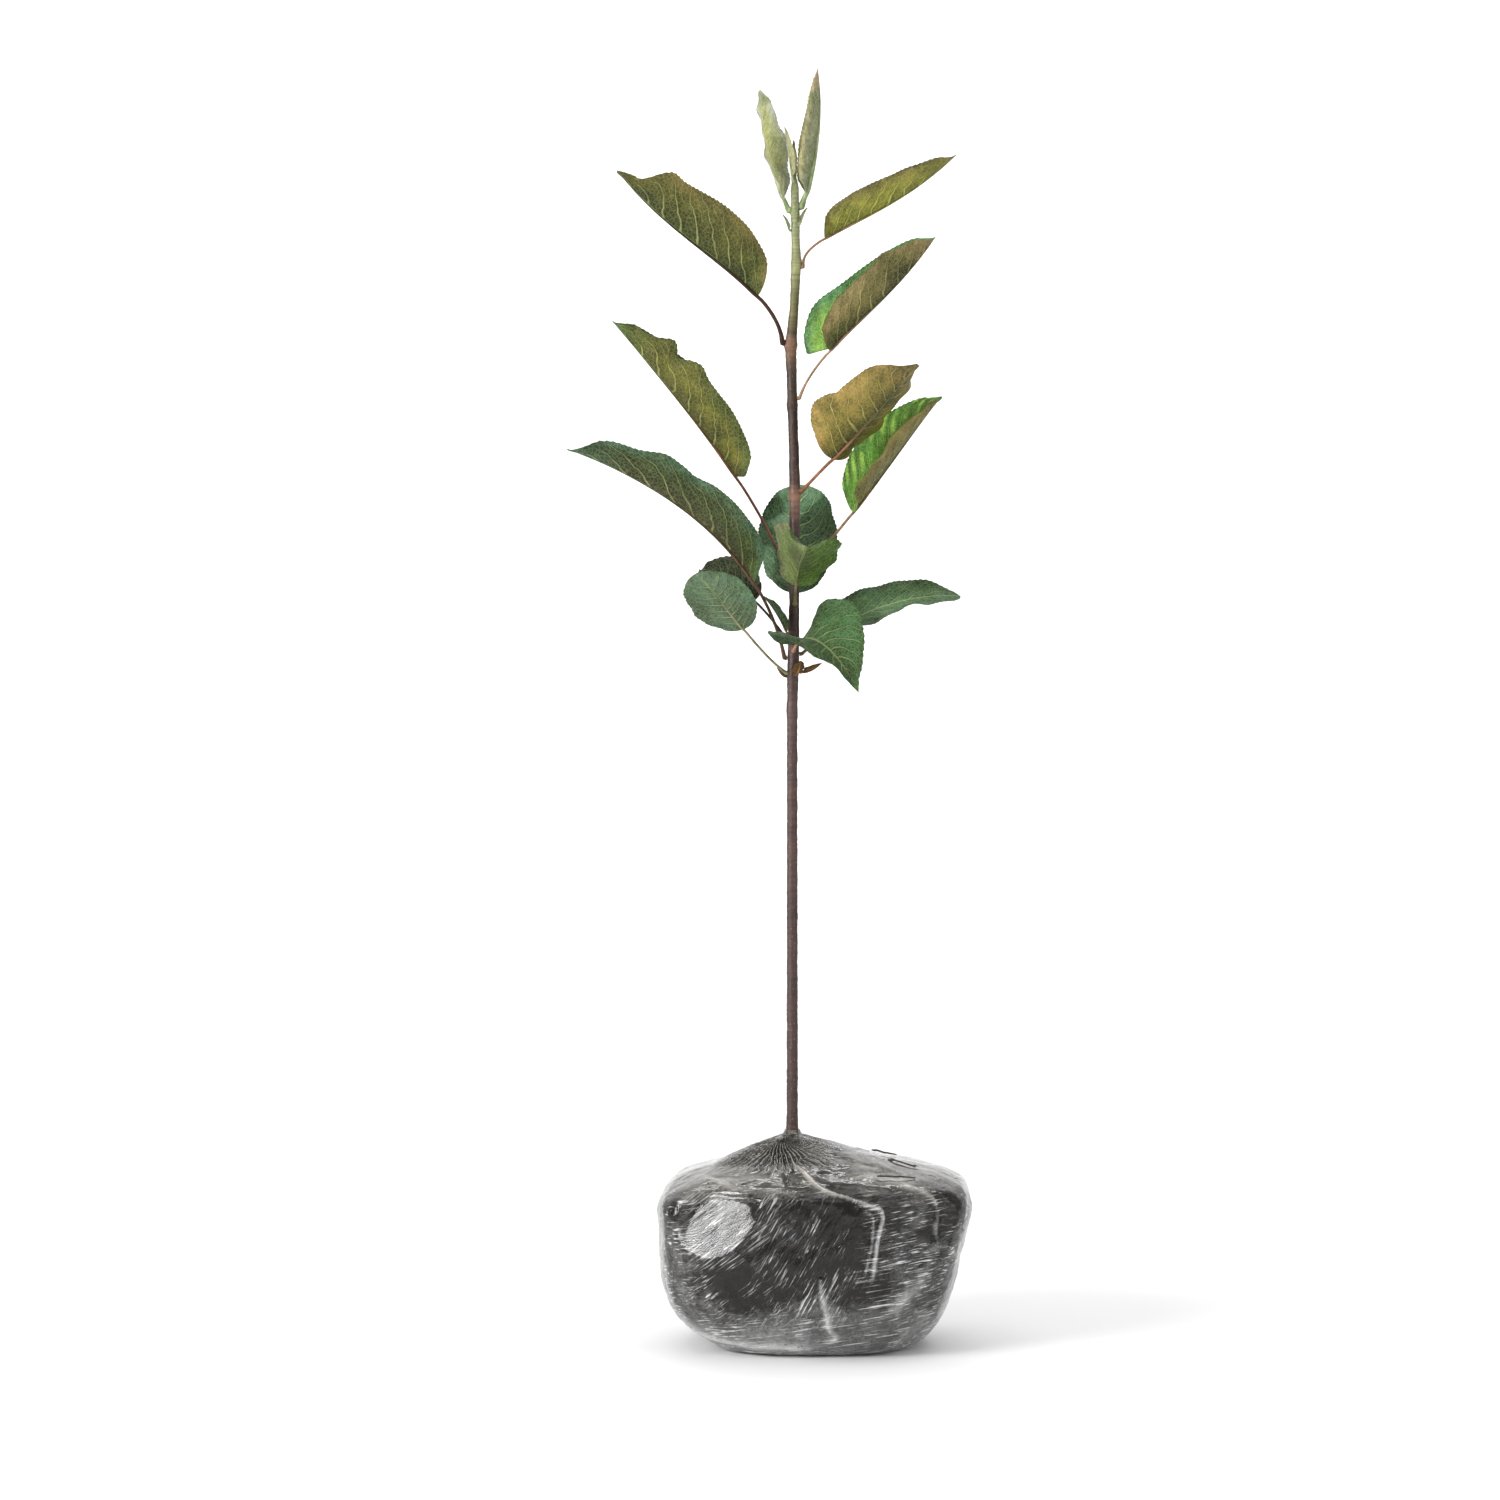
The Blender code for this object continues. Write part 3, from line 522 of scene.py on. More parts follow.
def makeLeaf(name, leaf):
    foot, tip = footAndTip(name)
    chord = tip - foot
    size = np.linalg.norm(chord)
    direction = chord / size
    flatSide = unit(np.cross(direction, (0, 0, 1)))
    lift = np.cross(flatSide, direction)
    handles = [foot + (direction * a + lift * b + flatSide * c) * size for a, b, c in leaf["bends"]]
    route = (foot, handles[0], handles[1], tip)
    small = leaf["halfWidth"] < 5
    rows, cols = (40, 13) if small else ((120, 25) if leaf.get("young") else (leafMake["stations"], leafMake["across"]))
    share = np.linspace(0, 1, rows)
    share = share + 0.03 * np.sin(2 * np.pi * share) / (2 * np.pi)
    t = leaf["blade"] + (1 - leaf["blade"]) * share
    centre, along = bezierAt(route, t), bezierAlong(route, t)
    up = unit(np.cross(flatSide, along))
    side = np.cross(along, up)
    length = np.linalg.norm(np.diff(centre, axis=0), axis=1).sum()
    # margin
    stalk = leaf["stalk"] * mm
    half = leaf["halfWidth"] * mm * bladeWidth(share, leaf["taper"])
    half = np.maximum(half, np.where(share < 0.5, 0.6 * stalk * (1 - 2 * share), 0.1 * mm))
    teeth = max(6, round(length / (leafMake["teeth"] * mm)))
    u = np.linspace(-1, 1, cols)
    u = np.sign(u) * np.abs(u) ** 0.9
    reach = np.abs(u)[None, :].repeat(rows, 0)
    isRight = (u > 0)[None, :].repeat(rows, 0)
    along2 = share[:, None].repeat(cols, 1)
    tooth = np.mod(share[:, None] * teeth + np.where(isRight, 0.3, 0.0), 1.0)
    tooth = (np.where(tooth < 0.8, tooth / 0.8, (1 - tooth) / 0.2) - 0.6)
    margin = smooth(0.80, 1.0, reach) * tooth * leafMake["toothDepth"] * mm
    margin *= smooth(0.02, 0.10, along2) * smooth(1.0, 0.93, along2) * (0.25 if small else 1.0)
    wide = half[:, None] + margin * (half[:, None] > 1.5 * mm)
    for rightHalf, place, reachAlong, change in leaf.get("bulges", ()):
        bulge = change * np.exp(-(((along2 - place) / reachAlong) ** 2))
        wide = wide * (1 + np.where(isRight == bool(rightHalf), bulge, 0))
    # each half's angle above the flat, and how that angle grows towards the margin
    left, right = leaf["rises"]
    fold, roll = (left + right) / 2, (left - right) / 2
    opened = fold * np.minimum(1.0, np.minimum(share / 0.12 + 0.15, (1 - share) / 0.08))
    turn = leaf["twist"] * (share - 0.5)
    rise = np.where(isRight, (opened - roll - turn)[:, None], (opened + roll + turn)[:, None])
    steps = 24
    v = (np.arange(steps) + 0.5) / steps
    outward = np.zeros((rows, cols))
    upward = np.zeros((rows, cols))
    for step in v:
        angle = np.radians(rise + leaf["cup"] * (2 * step * reach - 1) * smooth(0, 0.2, along2))
        outward += np.cos(angle) / steps
        upward += np.sin(angle) / steps
    endAngle = np.radians(rise + leaf["cup"] * (2 * reach - 1) * smooth(0, 0.2, along2))
    sign = np.where(isRight, 1.0, -1.0)
    sign[:, cols // 2] = 0.0
    spread = (wide * reach)[..., None]
    points = centre[:, None] + side[:, None] * (sign * outward)[..., None] * spread
    points = points + up[:, None] * upward[..., None] * spread
    lobe = np.where(isRight, leaf.get("lobes", (0, 0))[1], leaf.get("lobes", (0, 0))[0]) * mm
    points = points - along[:, None] * (lobe * reach * (1 - along2) ** 2 * smooth(0, 0.05, along2))[..., None]
    face = up[:, None] * np.cos(endAngle)[..., None] - side[:, None] * (sign * np.sin(endAngle))[..., None]
    face[:, cols // 2] = up
    face = unit(face)
    # swelling between the side veins, waves of the margin
    pairs = leafSkin["veinPairs"]
    phase = (along2 - 0.17 * reach - 0.12 * reach**2) * pairs + np.where(isRight, 0.35, 0.0)
    between = np.abs(np.sin(np.pi * phase)) ** 0.7
    body = smooth(0.02, 0.22, reach) * smooth(1.0, 0.78, reach) * smooth(0.0, 0.1, along2) * smooth(1, 0.9, along2)
    quilt = 0.3 if small else 1.0
    swell = leafMake["quilt"] * mm * quilt * (between - 0.5) * body
    seed = leaf["seed"]
    wavePhase = seed * 1.7 + np.where(isRight, 2.1, 0.0)
    waves = np.sin(2 * np.pi * (2.3 * along2 + 0.15 * seed) + wavePhase) + 0.5 * np.sin(
        2 * np.pi * (5.1 * along2) + 2.3 * wavePhase)
    wave = leaf["wave"] * mm * reach**2 * waves * smooth(0, 0.15, along2) * smooth(1, 0.9, along2)
    local = np.stack([along2 * length, u[None, :] * wide, np.full_like(along2, seed * 0.05)], -1)
    patch = cloud(local, 22 * mm, seed, 3)
    lumps = 0.8 * mm * patch * smooth(0, 0.3, reach) * (0.3 if small else 1.0)
    points = points + face * (swell + wave + lumps)[..., None]
    thick = 0.5 * leafMake["thickness"] * mm * (0.35 + 0.65 * smooth(1.0, 0.9, reach))
    top = points + face * thick[..., None]
    bottom = points - face * thick[..., None]
    # the two faces, joined round the whole margin
    grid = rows * cols
    every = np.concatenate([top.reshape(-1, 3), bottom.reshape(-1, 3)])
    topQuads = gridFaces(rows, cols, around=False)
    bottomQuads = topQuads[:, ::-1] + grid
    r = np.arange(rows - 1)
    c = np.arange(cols - 1)
    edges = [
        np.stack([r * cols, r * cols + grid, (r + 1) * cols + grid, (r + 1) * cols], -1),
        np.stack([(r + 1) * cols + cols - 1, (r + 1) * cols + cols - 1 + grid, r * cols + cols - 1 + grid,
                  r * cols + cols - 1], -1),
        np.stack([c + 1, c + 1 + grid, c + grid, c], -1),
        np.stack([(rows - 1) * cols + c, (rows - 1) * cols + c + grid, (rows - 1) * cols + c + 1 + grid,
                  (rows - 1) * cols + c + 1], -1),
    ]
    quads = np.concatenate([topQuads, bottomQuads] + edges)
    upperTint = zoneColour(leaf["upper"], along2, reach, patch)
    if "stripe" in leaf:
        lit = smooth(0.70, 0.95, between) * smooth(-0.25, 0.15, cloud(local, 12 * mm, seed + 40, 2))
        upperTint = upperTint + (linear(leaf["stripe"]) - upperTint) * (0.85 * lit)[..., None]
    # the pale patch is painted light: a lit area painted on to the blade, strongest towards the tip
    if "pale" in leaf:
        lit = smooth(0.0, 0.12, cloud(local, 30 * mm, seed + 40, 2) + 0.5 * smooth(0.75, 1.0, along2) - 0.1)
        upperTint = upperTint + (linear(leaf["pale"]) - upperTint) * (0.8 * lit)[..., None]
    underTint = zoneColour(leaf["under"], along2, reach, patch)
    if "rightUnder" in leaf:
        other = zoneColour(leaf["rightUnder"], along2, reach, patch)
        underTint = np.where(isRight[..., None], other, underTint)
    signed = u[None, :].repeat(rows, 0)
    shares = np.stack([along2, signed, np.zeros_like(along2)], -1)
    underShares = shares + np.array((0, 0, 1.0))
    blade = shellOf(every, quads,
                    tint=np.clip(np.concatenate([upperTint.reshape(-1, 3), underTint.reshape(-1, 3)]), 0, 1),
                    share=np.concatenate([shares.reshape(-1, 3), underShares.reshape(-1, 3)]),
                    place=np.concatenate([local.reshape(-1, 3), local.reshape(-1, 3) + (0, 0, 0.02)]))
    # stalk and midrib in one
    count = 24 if small else 70
    where = np.linspace(0, 0.985, count)
    ribCentre, ribAlong = bezierAt(route, where), bezierAlong(route, where)
    ribUp = unit(np.cross(flatSide, ribAlong))
    onBlade = smooth(leaf["blade"] - 0.04, leaf["blade"] + 0.04, where)
    left = np.clip((where - leaf["blade"]) / (1 - leaf["blade"]), 0, 1)
    radius = stalk * np.where(where < leaf["blade"], 0.86 + 0.5 * np.exp(-where / 0.035), 0.86 * (1 - left) ** 0.9)
    radius = np.maximum(radius, 0.14 * mm)
    path = ribCentre - ribUp * (onBlade * radius * 0.72)[:, None]
    inward = unit(np.array([stemX(foot[2]), 0, foot[2] - 0.3 * mm]) - foot)
    path = np.concatenate([[foot + inward * leafMake["footReach"] * mm], path])
    radius = np.concatenate([[radius[0] * 1.12], radius])
    stemTint = linear(leaf["stem"])
    ribTint = linear(leaf["under"]["rib"]) * 1.1 + 0.02
    mix = np.concatenate([[0], smooth(leaf["blade"], min(1, leaf["blade"] + 0.45), where)])[:, None]
    stalkShell = tubeShell(path, radius, 8 if small else 12, stemTint * (1 - mix) + ribTint * mix)
    material = budScale if leaf.get("scale") else softLeaf if leaf.get("young") else grownLeaf
    makePiece(name + "_grown", [blade, stalkShell], material, [name])
    if leaf.get("young"):
        fringe = np.concatenate([0.25 + 0.75 * smooth(0.7, 1.0, reach), 0.55 + 0.45 * smooth(0.7, 1.0, reach)]).ravel()
        stalkHair = np.full(len(stalkShell["points"]), 0.8)
        hairy[name] = [dict(part, values=dict(part["values"], where=where))
                       for part, where in ((blade, fringe), (stalkShell, stalkHair))]


hairy = {}  # surfaces that carry hairs
for name, leaf in leaves.items():
    makeLeaf(name, leaf)
print("leaves made:", len(leaves))


# stem; bark rings, swollen joints and colours by height

bark = dict(
    tip=9,               # mm that the soft tip stands between the young leaves
    step=0.7,            # mm between two rings of the skin
    sides=28,
    rootCount=5,
    joints=((112, 0.4, 5), (337, 0.3, 5), (452, 0.6, 2.5), (498, 0.4, 3), (530, 0.6, 2.5), (573, 0.5, 2.5),
            (600, 0.5, 5), (612, 1.0, 6)),
    # height in mm, swelling in mm, length in mm
    colours=((0, (64, 44, 39)), (330, (74, 51, 45)), (425, (72, 48, 42)), (438, (75, 50, 43)), (446, (122, 90, 75)),
             (452, (132, 97, 78)), (458, (70, 46, 40)), (490, (62, 44, 35)), (512, (67, 50, 35)), (526, (125, 93, 71)),
             (531, (147, 109, 87)), (537, (79, 66, 40)), (556, (105, 102, 60)), (573, (141, 144, 98)),
             (612, (155, 164, 115))),
)


def makeBarkMaterial():
    material, tree, shader = newMaterial("young_bark")
    tint = attribute(tree, "tint").outputs["Color"]
    place = attribute(tree, "place").outputs["Vector"]
    long = addNode(tree, "ShaderNodeMapping", {"Vector": place, "Scale": (900.0, 900.0, 110.0)}).outputs[0]
    ringed = addNode(tree, "ShaderNodeMapping", {"Vector": place, "Scale": (60.0, 60.0, 620.0)}).outputs[0]
    cracks = noiseAt(tree, long, 1.0, 4.0)
    bands = noiseAt(tree, ringed, 1.0, 3.0)
    dots = addNode(tree, "ShaderNodeTexVoronoi", {"Vector": addNode(tree, "ShaderNodeMapping", {
        "Vector": place, "Scale": (520.0, 520.0, 300.0)}).outputs[0], "Scale": 1.0}).outputs[0]
    dark = mixColour(tree, ramp(tree, bands, 0.35, 0.68, 0.0, 0.62), tint,
                     mixColour(tree, 1.0, tint, (0.42, 0.38, 0.36, 1), "MULTIPLY"))
    grey = mixColour(tree, ramp(tree, cracks, 0.52, 0.75, 0.0, 0.35), dark, (0.16, 0.13, 0.11, 1))
    spotted = mixColour(tree, ramp(tree, dots, 0.20, 0.10, 0.0, 0.35), grey, (0.33, 0.24, 0.17, 1))
    tree.links.new(spotted, shader.inputs["Base Color"])
    height = maths(tree, "MULTIPLY_ADD", bands, 0.9, maths(tree, "MULTIPLY", cracks, 0.6))
    tree.links.new(bumpOf(tree, height, 0.7, 0.0004), shader.inputs["Normal"])
    tree.links.new(ramp(tree, cracks, 0.3, 0.7, 0.42, 0.66), shader.inputs["Roughness"])
    return material


barkSkin = makeBarkMaterial()
soilTop = nodePoints("film_wrap")[:, 2].max()


def tintAt(z, table):
    heights = np.array([h for h, _ in table]) * mm
    colours = np.array([linear(c) for _, c in table])
    return np.stack([np.interp(z, heights, colours[:, i]) for i in range(3)], -1)


def makeStem():
    bottom, top = 34 * mm, levels.max() + bark["tip"] * mm
    z = np.arange(bottom, top + 1e-6, bark["step"] * mm)
    sides = bark["sides"]
    turn = np.linspace(0, 2 * np.pi, sides, endpoint=False)
    radius = stemRadius(z) * (1 - 0.75 * smooth(levels.max(), top, z))
    for height, swell, length in bark["joints"]:
        radius = radius + swell * mm * np.exp(-(((z - height * mm) / (length * mm)) ** 2))
    grid = np.stack([z[:, None] * np.ones(sides), turn[None, :] * np.ones((len(z), 1))], -1)
    base = np.stack([np.cos(grid[..., 1]) * 0.004, np.sin(grid[..., 1]) * 0.004, grid[..., 0]], -1)
    ridge = cloud(base * (1, 1, 4.0), 6 * mm, 3, 3) * 0.16 * mm
    lumps = cloud(base, 9 * mm, 5, 2) * 0.22 * mm
    r = radius[:, None] + ridge + lumps
    points = np.stack([stemX(z)[:, None] + r * np.cos(grid[..., 1]), r * np.sin(grid[..., 1]), grid[..., 0]], -1)
    count = len(z)
    ends = np.array([[stemX(z[0]), 0, z[0] - 1 * mm], [stemX(z[-1]), 0, z[-1] + 1.5 * mm]])
    every = np.concatenate([points.reshape(-1, 3), ends])
    spin, first = np.arange(sides), count * sides
    nextSpin = (spin + 1) % sides
    caps = np.concatenate([np.stack([np.full(sides, first), nextSpin, spin], -1),
                           np.stack([np.full(sides, first + 1), (count - 1) * sides + spin,
                                     (count - 1) * sides + nextSpin], -1)])
    patch = cloud(every, 14 * mm, 8, 3)
    tint = tintAt(every[:, 2] + 3 * mm * patch, bark["colours"]) * (1 + 0.5 * patch[:, None])
    share = np.zeros((len(every), 3))
    return shellOf(every, gridFaces(count, sides), caps, tint=np.clip(tint, 0, 1), share=share, place=every)


def makeRoots():
    crown = np.array([stemX(62 * mm), 0, 60 * mm])
    low = stemPoints[stemPoints[:, 2] < 61 * mm]
    shells = []
    for index in range(bark["rootCount"]):
        out = np.hypot(low[:, 0] - crown[0], low[:, 1])
        tip = low[out.argmax()]
        bearing = np.arctan2(low[:, 1], low[:, 0] - crown[0])
        tipBearing = math.atan2(tip[1], tip[0] - crown[0])
        near = np.abs((bearing - tipBearing + np.pi) % (2 * np.pi) - np.pi) < math.radians(30)
        low = low[~near | (out < 4 * mm)]
        steps = np.linspace(0, 1, 60)[:, None]
        knee = crown + (tip - crown) * (0.5, 0.5, 0.15)
        path = crown * (1 - steps) ** 2 + knee * 2 * steps * (1 - steps) + tip * steps**2
        path += np.stack([cloud(path, 9 * mm, 20 + index + k, 2) for k in range(3)], -1) * 1.6 * mm * steps
        radius = (2.0 - 1.3 * steps[:, 0]) * mm * (1 + 0.15 * cloud(path, 4 * mm, 31 + index, 2))
        shells.append(tubeShell(path, radius, 12, linear((96, 68, 48))))
    return shells


stemShell = makeStem()
makePiece("stem_grown", [stemShell] + makeRoots(), barkSkin, ["stem_and_roots"])
hairy["stem"] = [dict(stemShell, values=dict(where=smooth(560 * mm, 600 * mm, stemShell["points"][:, 2])))]
print("stem made")


# film; the outer rings of the CAD skin are drawn finer, then folded, pleated and creased

film = dict(
    around=440, rows=184, baseRows=8, innerRows=24,
    wall=0.8,                                    # mm
    stretch=((38, 70.0, 760.0, 0.0), (62, 80.0, 720.0, 3.0), (8, 60.0, 760.0, 7.0)),  # turn, along, across, seed
    front=0.5,                                   # how much closer the columns stand in front
    lumps=(1.0, 24), ripples=((0.40, 7), (0.22, 2.6)),  # height and size in mm
    clearer=(((24, -72, 69), 20, -0.42), ((82, -50, 79), 10, -0.50), ((-24, -70, 35), 15, -0.34), ((70, -60, 57), 9, -0.22),
             ((4, -72, 52), 14, -0.20), ((-66, -40, 70), 14, -0.12), ((46, -50, 93), 16, 0.10), ((-10, -60, 14), 30, 0.06)),
    folds=(                                      # raised folds: points in mm, height, half width, veil
        (((-2, -24, 104), (4, -40, 98), (12, -57, 92), (19, -64, 89), (27, -68, 87), (37, -69, 84), (44, -70, 81),
          (46, -71, 77), (45, -71, 72), (43, -71, 64), (42, -70, 55), (41, -68, 46), (38, -67, 39)), 1.7, 0.75, 0.70),
        (((33, -69, 80), (40, -72, 78), (41, -72, 72), (40, -71, 62), (38, -70, 52), (36, -68, 44)), 0.8, 0.6, 0.42),
        (((56, -52, 92), (61, -54, 90), (68, -54, 88), (73, -58, 84), (75, -60, 77), (74, -60, 69), (75, -57, 60)),
         1.2, 0.9, 0.50),
        (((76, -57, 60), (74, -57, 58), (71, -59, 53), (66, -59, 43), (62, -59, 37), (54, -61, 29), (52, -56, 16)),
         0.9, 2.6, 0.30),
        (((60, -60, 52), (75, -57, 60), (84, -40, 54), (90, -10, 50)), 0.6, 1.4, 0.22),
        (((14, -70, 46), (14, -70, 43), (15, -68, 35), (17, -66, 26), (19, -62, 17), (22, -59, 12), (14, -54, 8)),
         1.1, 1.2, 0.45),
        (((-58, -30, 12), (-48, -36, 9), (-35, -44, 7), (-20, -50, 6), (-6, -52, 6), (14, -54, 7)), 0.7, 2.0, 0.45),
        (((-70, -17, 79), (-61, -48, 83), (-44, -61, 86), (-29, -66, 86), (-13, -69, 86), (-1, -70, 85)), 0.5, 1.2, 0.12),
        (((-60, 10, 88), (-44, -39, 92), (-25, -60, 90), (-8, -64, 89), (6, -64, 89)), 0.5, 1.4, 0.20),
        (((70, 40, 70), (40, 62, 60), (0, 70, 52), (-40, 60, 60)), 1.0, 1.3, 0.35),
        (((-30, 60, 84), (-20, 68, 60), (-26, 66, 30), (-20, 56, 10)), 1.1, 1.2, 0.40),
        (((40, 50, 88), (48, 60, 66), (40, 62, 40)), 1.0, 1.2, 0.35),
    ),
    facets=(                                     # flat faces: a point in mm, the way it faces, its reach in mm
        ((-37, -64, 68), (-0.41, -0.86, 0.30), 25),
        ((60, -61, 62), (0.42, -0.90, 0.06), 34),
        ((2, -71.5, 50), (-0.04, -0.99, 0.04), 40),
        ((-56, -45, 18), (-0.55, -0.52, -0.65), 34),
        ((70, -38, 18), (0.62, -0.40, -0.67), 34),
        ((20, 66, 62), (0.20, 0.96, 0.12), 40),
    ),
    pleats=dict(centre=(-7, -5), count=26, height=1.1, reach=46),
)
filmPoints = nodePoints("film_wrap")
single = np.unique(np.round(filmPoints, 5), axis=0)
ringHeights = [z for z, n in zip(*np.unique(single[:, 2], return_counts=True)) if n == 36]
filmRings = []
for z in ringHeights:
    ring = single[single[:, 2] == z]
    middle = ring.mean(axis=0)
    order = np.arctan2(ring[:, 1] - middle[1], ring[:, 0] - middle[0]).argsort()
    filmRings.append((z, middle, ring[order]))
reaches = [np.hypot(*(ring - middle)[:, :2].T).mean() for z, middle, ring in filmRings]
outerRings = [filmRings[i] for i in range(len(filmRings))
              if i in (0, len(filmRings) - 1) or not reaches[i] < min(reaches[i - 1], reaches[i + 1])]


def periodic(angle, values, wanted):
    # a smooth closed curve through values, read at the wanted angles
    angle = np.concatenate([angle[-3:] - 2 * np.pi, angle, angle[:3] + 2 * np.pi])
    values = np.concatenate([values[-3:], values, values[:3]])
    return catmull(angle, values, wanted)


def catmull(x, y, wanted):
    y = y if y.ndim > 1 else y[:, None]
    slope = np.gradient(y, x, axis=0)
    i = np.clip(np.searchsorted(x, wanted) - 1, 0, len(x) - 2)
    h = (x[i + 1] - x[i])[:, None]
    t = ((wanted - x[i]) / (x[i + 1] - x[i]))[:, None]
    found = ((2 * t**3 - 3 * t**2 + 1) * y[i] + (t**3 - 2 * t**2 + t) * h * slope[i]
             + (-2 * t**3 + 3 * t**2) * y[i + 1] + (t**3 - t**2) * h * slope[i + 1])
    return found


def filmGrid(around, rows):
    even = np.linspace(0, 2 * np.pi, around, endpoint=False)
    angle = even - film["front"] * np.sin(even)          # dense at 0, which is turned to the front
    turn = np.mod(angle - np.pi / 2 + np.pi, 2 * np.pi) - np.pi
    columns = []
    for z, middle, ring in outerRings:
        bearing = np.arctan2(ring[:, 1] - middle[1], ring[:, 0] - middle[0])
        reach = np.hypot(ring[:, 0] - middle[0], ring[:, 1] - middle[1])
        r = periodic(bearing, reach, turn)[:, 0]
        columns.append(np.stack([middle[0] + r * np.cos(turn), middle[1] + r * np.sin(turn), np.full(around, z)], -1))
    columns = np.array(columns)                          # ring, column, xyz
    grid = np.empty((rows, around, 3))
    for k in range(around):
        line = columns[:, k]
        run = np.concatenate([[0], np.cumsum(np.linalg.norm(np.diff(line, axis=0), axis=1))])
        grid[:, k] = catmull(run, line, np.linspace(0, run[-1], rows))
    grid[..., 2] = np.clip(grid[..., 2], 0, soilTop)
    return grid


def gridNormals(grid):
    across = np.roll(grid, -1, axis=1) - np.roll(grid, 1, axis=1)
    upward = np.gradient(grid, axis=0)
    return unit(np.cross(across, upward))


def nearLine(points, line):
    best = np.full(len(points), 1e9)
    where = np.zeros(len(points))
    for i, (a, b) in enumerate(zip(line[:-1], line[1:])):
        t = np.clip(((points - a) @ (b - a)) / ((b - a) @ (b - a)), 0, 1)
        d = np.linalg.norm(points - (a + t[:, None] * (b - a)), axis=1)
        where = np.where(d < best, (i + t) / (len(line) - 1), where)
        best = np.minimum(best, d)
    return best, where


def pressFacets(grid, inset):
    # what stands proud of a flat face is pressed on to it
    for place, facing, reach in film["facets"]:
        facing = np.array(facing) / np.linalg.norm(facing)
        away = grid - np.array(place) * mm
        proud = away @ facing + inset
        near = smooth(reach * 1.35 * mm, reach * 0.8 * mm, np.linalg.norm(away, axis=-1))
        grid = grid - facing * (np.maximum(proud, 0) * near)[..., None]
    return grid


def makeFilm():
    rows, around = film["rows"], film["around"]
    grid = pressFacets(filmGrid(around, rows), 0)
    normals = gridNormals(grid)
    flat = grid.reshape(-1, 3)
    x, y, z = flat.T
    size, reach = film["lumps"]
    lift = size * mm * cloud(flat, reach * mm, 41, 3)
    # long ripples that run with the stretch: steep in the middle, level low down and at the sides
    steep = smooth(44 * mm, 20 * mm, x) * smooth(-62 * mm, -44 * mm, x) * smooth(14 * mm, 34 * mm, z)
    steep = steep * smooth(92 * mm, 84 * mm, z) * smooth(20 * mm, -20 * mm, y)
    steepest = steep * smooth(-34 * mm, -8 * mm, x)
    calm = 1 - 0.7 * smooth(82 * mm, 92 * mm, z)
    pulls = np.stack([(steep - 0.5 * steepest) * calm, steepest * calm, (1 - steep) * calm], -1)
    for share, (turn, _, _, seed) in zip(pulls.T, film["stretch"]):
        run = x * np.cos(np.radians(turn)) + z * np.sin(np.radians(turn))
        across = -x * np.sin(np.radians(turn)) + z * np.cos(np.radians(turn))
        for size, reach in film["ripples"]:
            ripple = cloud(np.stack([run * 0.13, y * 0.25, across], -1), reach * mm, 43 + seed + reach, 2)
            lift += size * mm * ripple * share
    haze = np.zeros(len(flat))
    for line, height, width, veil in film["folds"]:
        line = np.array(line, float) * mm
        line = catmull(np.arange(len(line), dtype=float), line, np.linspace(0, len(line) - 1, 40))
        away = (flat[None] - line[:, None]) * (1, 0.25, 1)
        line[:, 1] = flat[(away**2).sum(axis=-1).argmin(axis=1), 1]   # laid on the skin
        d, where = nearLine(flat * (1, 0.5, 1), line * (1, 0.5, 1))
        fade = smooth(0, 0.12, where) * smooth(1, 0.85, where)
        lift += height * mm * np.exp(-((d / (width * mm)) ** 2)) * fade
        haze += veil * np.exp(-((d / (width * 1.5 * mm)) ** 2)) * fade
    pleats = film["pleats"]
    cx, cy = np.array(pleats["centre"]) * mm
    bearing = np.arctan2(y - cy, x - cx)
    out = np.hypot(x - cx, y - cy)
    ruffle = 1 - 2 * np.abs(np.sin(pleats["count"] * bearing + 2.0 * cloud(flat, 12 * mm, 47, 2))) ** 0.6
    fan = smooth(pleats["reach"] * mm, 14 * mm, out) * smooth(1 * mm, 5 * mm, out) * smooth(84 * mm, 92 * mm, z)
    fan = fan * (0.25 + 0.75 * smooth(0.2, 0.9, np.cos(bearing + 1.9)))
    lift += pleats["height"] * mm * ruffle * fan
    place, _, reach = film["facets"][0]                  # the face that mirrors the window stays smoother
    lift *= 1 - 0.5 * smooth(reach * mm, reach * 0.5 * mm, np.linalg.norm(flat - np.array(place) * mm, axis=1))
    lift *= smooth(soilTop, soilTop - 4 * mm, z) * smooth(0, 3 * mm, z)
    outer = flat + normals.reshape(-1, 3) * lift[:, None]
    outer[:, 2] = np.clip(outer[:, 2], 0, soilTop)
    # veil: how milky the film is, by place
    top = smooth(84 * mm, 96 * mm, z)
    lowBand = smooth(40 * mm, 6 * mm, z)
    rightSide = smooth(35 * mm, 62 * mm, x)
    leftSide = smooth(-52 * mm, -68 * mm, x)
    cloudy = cloud(flat, 26 * mm, 53, 4)
    veil = 0.02 + 0.17 * top + 0.32 * lowBand + 0.03 * rightSide + 0.10 * leftSide
    veil = veil + 0.16 * cloudy + haze + 0.55 * ruffle * fan
    for place, reach, change in film["clearer"]:
        veil += change * np.exp(-(np.linalg.norm(flat - np.array(place) * mm, axis=1) / (reach * mm)) ** 2)
    return outer.reshape(rows, around, 3), np.clip(veil, -0.6, 1), pulls


